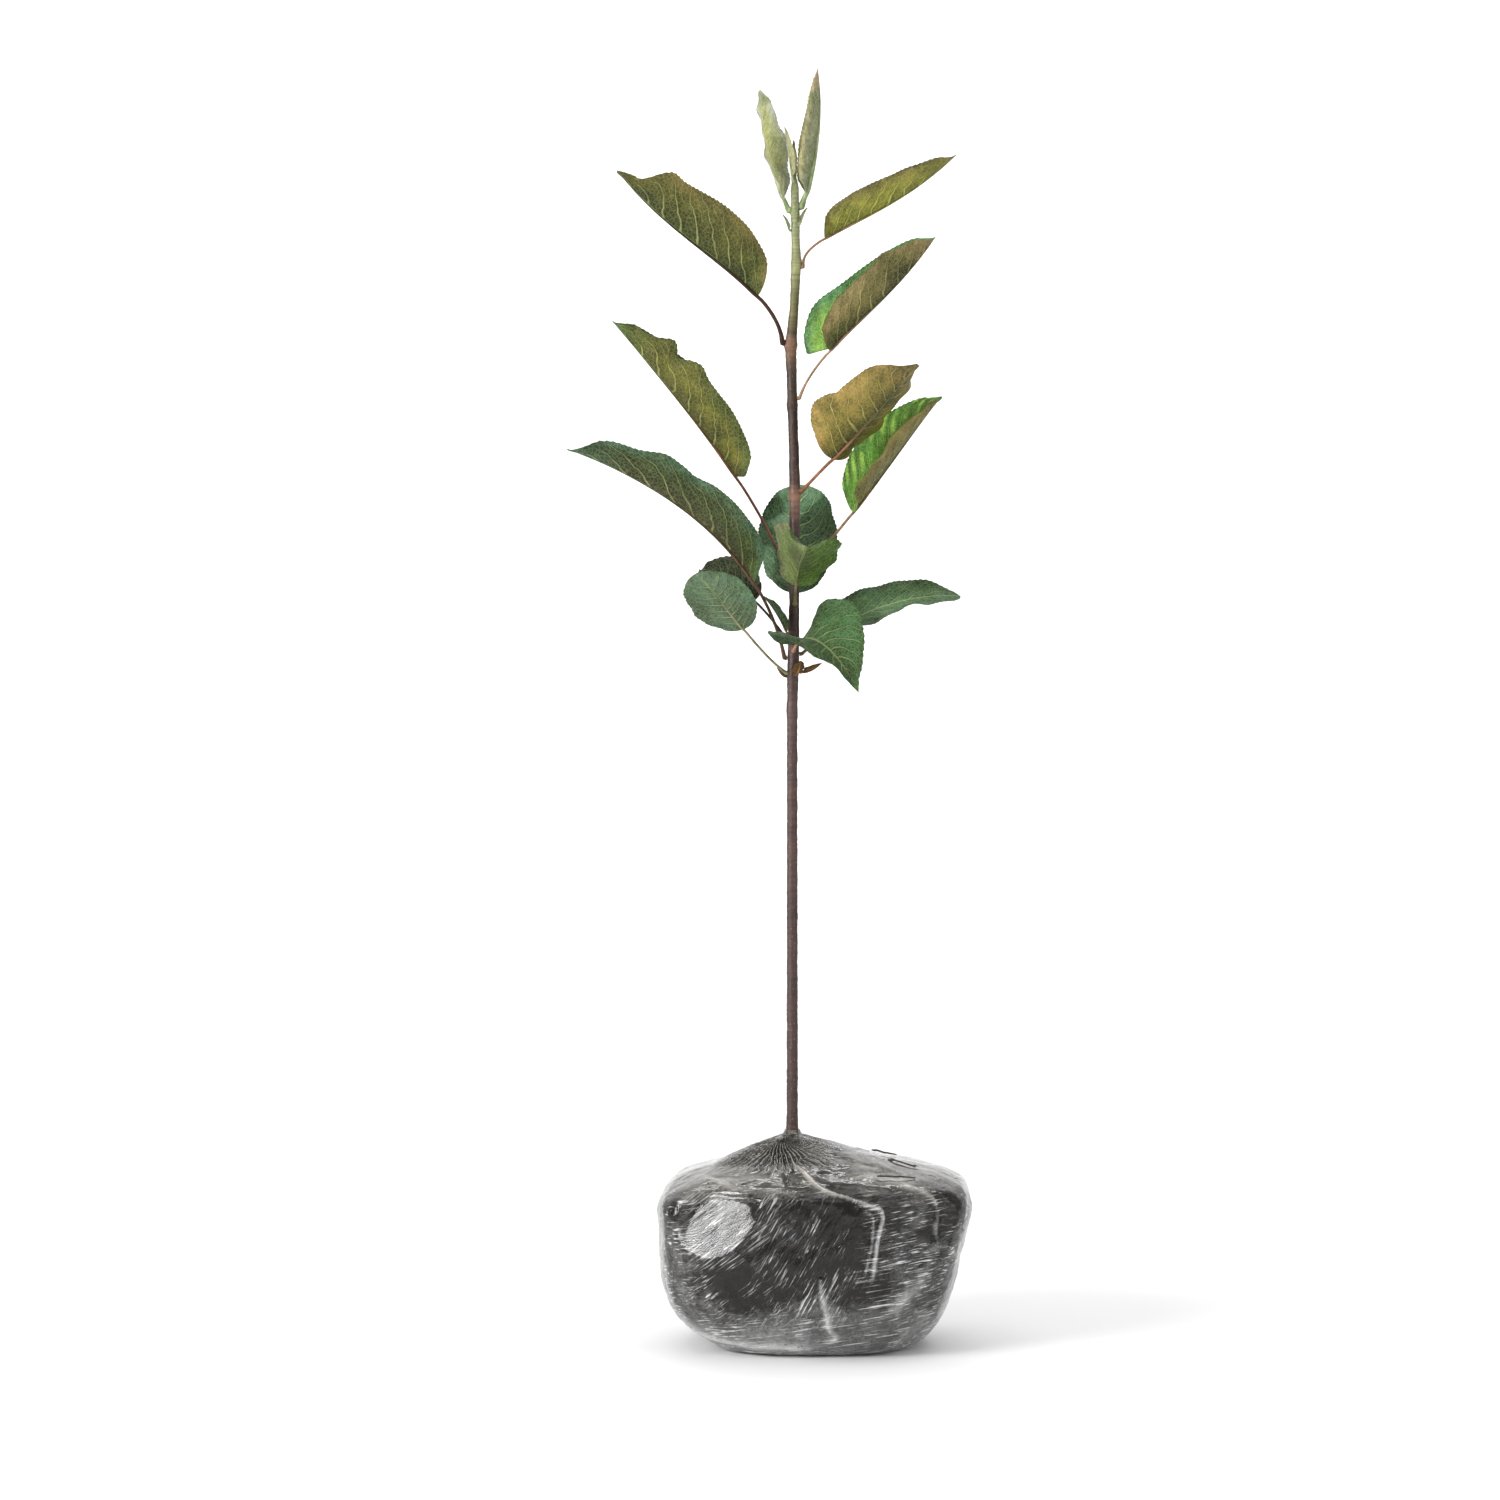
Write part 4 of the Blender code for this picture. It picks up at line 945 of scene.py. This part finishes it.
def closeFilm(outer, veil, pulls):
    rows, around = film["rows"], film["around"]
    parts, veils = [], []
    middle = outer[0].mean(axis=0)
    baseShares = np.linspace(0, 1, film["baseRows"], endpoint=False)[1:]
    for share in baseShares:                             # the underside, from its pole out to the rim
        ring = middle + (outer[0] - middle) * share
        ring[:, 2] = 0.25 * mm * (1 - share)
        parts.append(ring)
        veils.append(np.full(around, 0.45))
    parts.append(outer.reshape(-1, 3).reshape(rows, around, 3))
    outerRows = np.concatenate([np.array(parts[:-1]), outer])
    innerPick = np.linspace(rows - 1, 2, film["innerRows"]).round().astype(int)
    normals = gridNormals(outer)
    inner = outer[innerPick] - normals[innerPick] * film["wall"] * mm
    inner[..., 2] = np.clip(inner[..., 2], film["wall"] * mm, soilTop - 0.2 * mm)
    every = np.concatenate([outerRows, inner])
    poles = np.array([[middle[0], middle[1], 0.25 * mm], [middle[0], middle[1], film["wall"] * mm]])
    points = np.concatenate([every.reshape(-1, 3), poles])
    total = len(every)
    spin = np.arange(around)
    nextSpin = (spin + 1) % around
    first = total * around
    caps = np.concatenate([np.stack([np.full(around, first), spin, nextSpin], -1),
                           np.stack([np.full(around, first + 1), (total - 1) * around + nextSpin,
                                     (total - 1) * around + spin], -1)])
    veils = np.concatenate(veils + [veil.reshape(-1), np.full(len(inner) * around + 2, 0.0)])
    inside = np.concatenate([np.zeros(len(outerRows) * around), np.ones(len(inner) * around), [0, 1]])
    level = np.tile((0.0, 0.0, 1.0), (len(points), 1))
    start = len(parts[:-1]) * around
    level[start:start + len(pulls)] = pulls
    return shellOf(points, gridFaces(total, around), caps, veil=veils, inside=inside, pull=level)


def makeFilmMaterial():
    material, tree, shader = newMaterial("stretch_film")
    place = addNode(tree, "ShaderNodeTexCoord").outputs["Object"]
    veil = attribute(tree, "veil").outputs["Fac"]
    inside = attribute(tree, "inside").outputs["Fac"]
    pull = addNode(tree, "ShaderNodeSeparateXYZ", {0: attribute(tree, "pull").outputs["Vector"]}).outputs
    relief, lines, paintedGlints = 0.0, 0.0, 0.0
    for share, (angle, squeeze, fine, seed) in zip(pull, film["stretch"]):
        turned = addNode(tree, "ShaderNodeVectorRotate", {"Vector": place, "Axis": (0, 1, 0), "Angle": math.radians(angle)},
                         rotation_type="AXIS_ANGLE").outputs[0]
        shaped = addNode(tree, "ShaderNodeMapping", {"Vector": turned, "Scale": (squeeze, squeeze * 3, fine),
                                                     "Location": (seed, seed, seed)}).outputs[0]
        found = noiseAt(tree, shaped, 1.0, 3.0, 0.6)
        shifted = addNode(tree, "ShaderNodeMapping", {"Vector": place, "Location": (seed, 1.0, seed)}).outputs[0]
        where = noiseAt(tree, shifted, 70.0, 4.0, 0.65)
        present = maths(tree, "MULTIPLY", ramp(tree, where, 0.38, 0.58, 0.12, 1.0), share)
        thin = addNode(tree, "ShaderNodeMapping", {"Vector": turned, "Scale": (squeeze * 0.8, squeeze * 3, fine * 2.1),
                                                   "Location": (seed, 5.0, seed)}).outputs[0]
        hair = noiseAt(tree, thin, 1.0, 2.0, 0.5)
        lines = maths(tree, "MULTIPLY_ADD", ramp(tree, found, 0.48, 0.66), present, lines)
        # painted glints: thin near-white strokes painted into the film's colour, standing in for highlights on the
        # stretch lines
        paintedGlints = maths(tree, "MULTIPLY_ADD", ramp(tree, hair, 0.55, 0.66), present, paintedGlints)
        relief = maths(tree, "MULTIPLY_ADD", maths(tree, "ADD", found, maths(tree, "MULTIPLY", hair, 0.5)), share, relief)
    milky = noiseAt(tree, place, 75.0, 6.0, 0.62)
    grit = noiseAt(tree, place, 430.0, 4.0, 0.7)
    specks = addNode(tree, "ShaderNodeTexVoronoi", {"Vector": place, "Scale": 300.0}).outputs[0]
    specks = maths(tree, "MULTIPLY", ramp(tree, specks, 0.26, 0.12), ramp(tree, noiseAt(tree, place, 60.0), 0.45, 0.6))
    share = maths(tree, "ADD", veil, ramp(tree, milky, 0.36, 0.66, -0.08, 0.06))
    share = maths(tree, "ADD", share, ramp(tree, grit, 0.44, 0.62, -0.03, 0.08))
    share = maths(tree, "MULTIPLY_ADD", lines, 0.08, share)
    # the painted glints lift the colour towards milky white
    share = maths(tree, "MULTIPLY_ADD", paintedGlints, 0.80, share)
    share = addNode(tree, "ShaderNodeClamp", {0: share}).outputs[0]
    dark = mixColour(tree, ramp(tree, grit, 0.46, 0.68), (0.001, 0.0009, 0.0008, 1), (0.016, 0.012, 0.009, 1))
    height = addNode(tree, "ShaderNodeSeparateXYZ", {0: place}).outputs[2]
    milk = mixColour(tree, ramp(tree, height, 0.076, 0.096), (0.66, 0.66, 0.655, 1), (0.60, 0.57, 0.50, 1))
    colour = mixColour(tree, share, dark, milk)
    colour = mixColour(tree, maths(tree, "MULTIPLY", specks, 0.6), colour, (0.020, 0.014, 0.010, 1))
    tree.links.new(colour, shader.inputs["Base Color"])
    cover = maths(tree, "MULTIPLY_ADD", share, 0.44, 0.56)
    clear = maths(tree, "SUBTRACT", 1.0, maths(tree, "MULTIPLY", inside, 0.92))
    tree.links.new(maths(tree, "MULTIPLY", cover, clear), shader.inputs["Alpha"])
    relief = maths(tree, "MULTIPLY_ADD", noiseAt(tree, place, 260.0, 3.0), 0.14, relief)
    tree.links.new(bumpOf(tree, relief, 0.45, 0.0006), shader.inputs["Normal"])
    tree.links.new(ramp(tree, milky, 0.3, 0.7, 0.07, 0.16), shader.inputs["Roughness"])
    shader.inputs["IOR"].default_value = 1.5
    shader.inputs["Specular IOR Level"].default_value = 0.6
    return material


filmShell = closeFilm(*makeFilm())
makePiece("film_drawn", [filmShell], makeFilmMaterial(), ["film_wrap"])
print("film made")


# geometry nodes that strew one small shape over a surface

def strewTree(name, shape, lies, material):
    tree = bpy.data.node_groups.new(name, "GeometryNodeTree")
    face = tree.interface
    face.new_socket("Geometry", in_out="INPUT", socket_type="NodeSocketGeometry")
    for label, kind in (("Density", "NodeSocketFloat"), ("Smallest", "NodeSocketFloat"), ("Largest", "NodeSocketFloat"),
                        ("Lean", "NodeSocketFloat"), ("Seed", "NodeSocketInt")):
        face.new_socket(label, in_out="INPUT", socket_type=kind)
    face.new_socket("Geometry", in_out="OUTPUT", socket_type="NodeSocketGeometry")
    given = tree.nodes.new("NodeGroupInput").outputs
    where = addNode(tree, "GeometryNodeInputNamedAttribute", {"Name": "where"}, data_type="FLOAT").outputs[0]
    density = maths(tree, "MULTIPLY", given["Density"], where)
    spread = addNode(tree, "GeometryNodeDistributePointsOnFaces",
                     {"Mesh": given["Geometry"], "Density": density, "Seed": given["Seed"]}).outputs
    if shape == "spike":
        chip = addNode(tree, "GeometryNodeMeshCone", {"Vertices": 3, "Radius Top": 0.0, "Radius Bottom": 0.045, "Depth": 1.0},
                       fill_type="NGON").outputs["Mesh"]
    else:
        chip = addNode(tree, "GeometryNodeMeshIcoSphere", {"Radius": 0.5, "Subdivisions": 1}).outputs["Mesh"]
    turned = addNode(tree, "FunctionNodeAlignRotationToVector", {"Vector": spread["Normal"]},
                     axis="X" if lies else "Z").outputs[0]
    spin = addNode(tree, "FunctionNodeRandomValue", {"Seed": given["Seed"]}, data_type="FLOAT_VECTOR")
    reach = addNode(tree, "ShaderNodeCombineXYZ",
                    {0: math.pi if lies else given["Lean"], 1: given["Lean"], 2: given["Lean"] if lies else math.pi})
    tree.links.new(reach.outputs[0], spin.inputs["Max"])
    tree.links.new(addNode(tree, "ShaderNodeVectorMath", {0: reach.outputs[0], 1: (-1, -1, -1)},
                           operation="MULTIPLY").outputs[0], spin.inputs["Min"])
    turned = addNode(tree, "FunctionNodeRotateRotation", {"Rotation": turned, "Rotate By": spin.outputs[0]},
                     rotation_space="LOCAL").outputs[0]
    size = addNode(tree, "FunctionNodeRandomValue", {"Min": given["Smallest"], "Max": given["Largest"],
                                                     "Seed": given["Seed"]}, data_type="FLOAT")
    size = next(socket for socket in size.outputs if socket.enabled)
    placed = addNode(tree, "GeometryNodeInstanceOnPoints", {"Points": spread["Points"], "Instance": chip,
                                                            "Rotation": turned, "Scale": size}).outputs[0]
    real = addNode(tree, "GeometryNodeRealizeInstances", {"Geometry": placed}).outputs[0]
    done = addNode(tree, "GeometryNodeSetMaterial", {"Geometry": real, "Material": material}).outputs[0]
    tree.links.new(done, tree.nodes.new("NodeGroupOutput").inputs[0])
    return tree


def strew(name, surfaces, tree, slot, material, **values):
    # surfaces are shells with a value "where" from 0 to 1 at every point
    base = shellMesh(name + "_base", surfaces)
    carrier = bpy.data.objects.new(name + "_base", base)
    scene.collection.objects.link(carrier)
    modifier = carrier.modifiers.new("strew", "NODES")
    modifier.node_group = tree
    for item in tree.interface.items_tree:
        if item.in_out == "INPUT" and item.name in values:
            modifier[item.identifier] = values[item.name]
    graph = bpy.context.evaluated_depsgraph_get()
    mesh = bpy.data.meshes.new_from_object(carrier.evaluated_get(graph))
    carrier.modifiers.clear()
    bpy.data.objects.remove(carrier)
    bpy.data.meshes.remove(base)
    mesh.name = name
    mesh.materials.clear()
    mesh.materials.append(material)
    print(name, len(mesh.polygons), "faces")
    return placePiece(name, mesh)


# soil

soil = dict(around=200, rows=90, inset=2.6, rough=0.9, crumbs=1500)


def makeSoilMaterial():
    material, tree, shader = newMaterial("peat_soil")
    place = addNode(tree, "ShaderNodeTexCoord").outputs["Object"]
    lumps = noiseAt(tree, place, 210.0, 6.0, 0.7)
    fibres = noiseAt(tree, addNode(tree, "ShaderNodeMapping", {"Vector": place, "Scale": (1.0, 1.0, 0.2),
                                                               "Rotation": (0.4, 0.7, 0.2)}).outputs[0], 700.0, 4.0)
    colour = mixColour(tree, ramp(tree, lumps, 0.35, 0.7), (0.006, 0.005, 0.004, 1), (0.045, 0.030, 0.018, 1))
    colour = mixColour(tree, ramp(tree, fibres, 0.62, 0.72, 0.0, 0.7), colour, (0.14, 0.085, 0.045, 1))
    tree.links.new(colour, shader.inputs["Base Color"])
    tree.links.new(bumpOf(tree, lumps, 0.9, 0.0015), shader.inputs["Normal"])
    tree.links.new(ramp(tree, lumps, 0.3, 0.7, 0.7, 0.95), shader.inputs["Roughness"])
    return material


def makeSoil():
    grid = filmGrid(soil["around"], soil["rows"])
    normals = gridNormals(grid)
    inner = pressFacets(grid - normals * soil["inset"] * mm, soil["inset"] * mm)
    rough = cloud(inner, 4 * mm, 61, 4) * soil["rough"] * mm
    inner = inner - normals * np.abs(rough)[..., None]
    inner[..., 2] = np.clip(inner[..., 2], 1.2 * mm, soilTop - 2.5 * mm)
    keep = np.hypot(inner[..., 0] - stemX(inner[..., 2]), inner[..., 1]).min(axis=1) > 1.0 * mm
    inner = inner[keep]
    rows, around = inner.shape[:2]
    poles = np.array([inner[0].mean(axis=0), inner[-1].mean(axis=0)])
    points = np.concatenate([inner.reshape(-1, 3), poles])
    spin = np.arange(around)
    nextSpin = (spin + 1) % around
    first = rows * around
    caps = np.concatenate([np.stack([np.full(around, first), nextSpin, spin], -1),
                           np.stack([np.full(around, first + 1), (rows - 1) * around + spin,
                                     (rows - 1) * around + nextSpin], -1)])
    return shellOf(points, gridFaces(rows, around), caps, place=points)


soilShell = makeSoil()
soilSkin = makeSoilMaterial()
makePiece("soil_packed", [soilShell], soilSkin, ["soil_ball"])
print("soil made")


# straws

def makeStrawMaterial():
    material, tree, shader = newMaterial("dry_straw")
    place = attribute(tree, "place").outputs["Vector"]
    tone = noiseAt(tree, place, 500.0, 3.0)
    colour = mixColour(tree, ramp(tree, tone, 0.35, 0.65), (0.016, 0.011, 0.008, 1), (0.07, 0.045, 0.028, 1))
    tree.links.new(colour, shader.inputs["Base Color"])
    tree.links.new(bumpOf(tree, tone, 0.5, 0.0003), shader.inputs["Normal"])
    tree.links.new(ramp(tree, tone, 0.3, 0.7, 0.5, 0.8), shader.inputs["Roughness"])
    return material


strawSkin = makeStrawMaterial()
for index, name in enumerate(("straw_front", "straw_middle", "straw_back")):
    points = nodePoints(name)
    start = points[points[:, 0].argmin()]
    end = points[points[:, 0].argmax()]
    order = points[:, 0].argsort()
    cuts = np.linspace(start[0], end[0], 8)
    path = np.array([points[np.abs(points[:, 0] - cut).argsort()[:12]].mean(axis=0) for cut in cuts])
    path = catmull(np.arange(8.0), path, np.linspace(0, 7, 48))
    path += np.stack([cloud(path, 5 * mm, 71 + index + k, 2) for k in range(3)], -1) * 0.25 * mm
    radius = np.interp(np.linspace(0, 1, 48), (0, 0.1, 0.8, 1), (0.34, 0.50, 0.42, 0.18)) * mm
    makePiece(name + "_dry", [tubeShell(path, radius, 10, (0.05, 0.035, 0.02))], strawSkin, [name])
print("straws made")

# crumbs in the soil, chaff on the film, hairs on everything young

strewn = dict(
    crumbs=dict(Density=26000.0, Smallest=0.0008, Largest=0.0024, Lean=1.5, Seed=3),
    chaff=dict(Density=16000.0, Smallest=0.0020, Largest=0.0065, Lean=0.10, Seed=5),
    hairs=dict(Density=1.5e6, Smallest=0.0005, Largest=0.0014, Lean=0.6, Seed=9),
)


def makeHairMaterial():
    material, tree, shader = newMaterial("leaf_hair")
    place = addNode(tree, "ShaderNodeTexCoord").outputs["Object"]
    tone = noiseAt(tree, place, 300.0, 2.0)
    colour = mixColour(tree, ramp(tree, tone, 0.35, 0.65), (0.52, 0.56, 0.38, 1), (0.74, 0.74, 0.60, 1))
    tree.links.new(colour, shader.inputs["Base Color"])
    tree.links.new(ramp(tree, tone, 0.3, 0.7, 0.6, 0.9), shader.inputs["Roughness"])
    shader.inputs["Sheen Weight"].default_value = 0.4
    return material


hairSkin = makeHairMaterial()
for index, (name, surfaces) in enumerate(hairy.items()):
    strew(name + "_hairs", surfaces, strewTree(name + "_hair_tree", "spike", False, hairSkin), "young_leaf", hairSkin,
          **dict(strewn["hairs"], Seed=9 + index))
crumbShell = dict(soilShell, values=dict(soilShell["values"], where=np.ones(len(soilShell["points"]))))
strew("soil_crumbs", [crumbShell], strewTree("crumb_tree", "crumb", False, soilSkin), "soil", soilSkin, **strewn["crumbs"])
points = filmShell["points"]
high = smooth(86 * mm, 96 * mm, points[:, 2]) * (1 - filmShell["values"]["inside"])
chaffShell = dict(filmShell, values=dict(where=high * smooth(-0.1, 0.25, cloud(points, 12 * mm, 81, 2))))
strew("film_chaff", [chaffShell], strewTree("chaff_tree", "spike", True, strawSkin), "straw", strawSkin, **strewn["chaff"])
print("small things strewn")


# floor, lights and camera

studio = dict(
    aim=(-0.0228, 0.0, 0.316), lift=3.0, away=2.6, lens=117.8,
    world=0.395, exposure=0.07,
)


def makeSweep():
    material, tree, shader = newMaterial("pale_sweep")
    place = addNode(tree, "ShaderNodeTexCoord").outputs["Object"]
    tone = noiseAt(tree, place, 3.0, 3.0)
    colour = mixColour(tree, ramp(tree, tone, 0.3, 0.7), (0.93, 0.93, 0.93, 1), (0.95, 0.95, 0.95, 1))
    tree.links.new(colour, shader.inputs["Base Color"])
    shader.inputs["Roughness"].default_value = 0.9
    profile = [(-5.0, 0.0), (3.4, 0.0)]
    profile += [(3.4 + 1.2 * math.sin(a), 1.2 - 1.2 * math.cos(a)) for a in np.linspace(0, math.pi / 2, 24)[1:]]
    profile += [(4.6, 4.2)]
    xs = (-5.0, 5.0)
    points = [(x, y, z - 0.2 * mm) for y, z in profile for x in xs]
    faces = [(2 * i, 2 * i + 1, 2 * i + 3, 2 * i + 2) for i in range(len(profile) - 1)]
    mesh = bpy.data.meshes.new("sweep")
    mesh.from_pydata(points, [], faces)
    mesh.shade_smooth()
    mesh.materials.append(material)
    sweep = bpy.data.objects.new("sweep", mesh)
    scene.collection.objects.link(sweep)


def addLight(name, place, aim, size, power, tint=(1, 1, 1)):
    light = bpy.data.lights.new(name, "AREA")
    light.shape, light.size, light.size_y = "RECTANGLE", size[0], size[1]
    light.energy, light.color = power, tint
    lamp = bpy.data.objects.new(name, light)
    lamp.location = place
    lamp.rotation_euler = (Vector(aim) - Vector(place)).to_track_quat("-Z", "Y").to_euler()
    scene.collection.objects.link(lamp)
    return lamp


makeSweep()
world = bpy.data.worlds.new("studio")
world.use_nodes = True
world.node_tree.nodes["Background"].inputs[0].default_value = (1, 1, 1, 1)
world.node_tree.nodes["Background"].inputs[1].default_value = studio["world"]
scene.world = world
tilt = math.radians(studio["lift"])
aim = Vector(studio["aim"])
cameraData = bpy.data.cameras.new("camera")
cameraData.lens, cameraData.sensor_width = studio["lens"], 36
camera = bpy.data.objects.new("camera", cameraData)
camera.location = aim + Vector((0, -math.cos(tilt), math.sin(tilt))) * studio["away"]
camera.rotation_euler = (math.pi / 2 - tilt, 0, 0)
scene.collection.objects.link(camera)
scene.camera = camera
addLight("overhead", (0.1, 0.3, 2.4), (0.1, 0.3, 0), (3.0, 2.4), 28)
addLight("fill", (1.7, -1.3, 0.9), (0, 0, 0.4), (0.9, 1.2), 9.5)
addLight("backdrop", (0, 2.9, 2.9), (0, 4.3, 0.7), (3.6, 0.9), 95)
# a window light placed where the film's left face mirrors it to the viewer
face = film["facets"][0]
facing = Vector(face[1]).normalized()
middle = Vector(face[0]) * mm
glance = (middle - camera.location).normalized()
mirrored = glance - 2 * glance.dot(facing) * facing
addLight("window", middle + mirrored * 1.6, middle, (0.72, 0.56), 22)
scene.view_settings.view_transform = "Standard"
scene.view_settings.exposure = studio["exposure"]
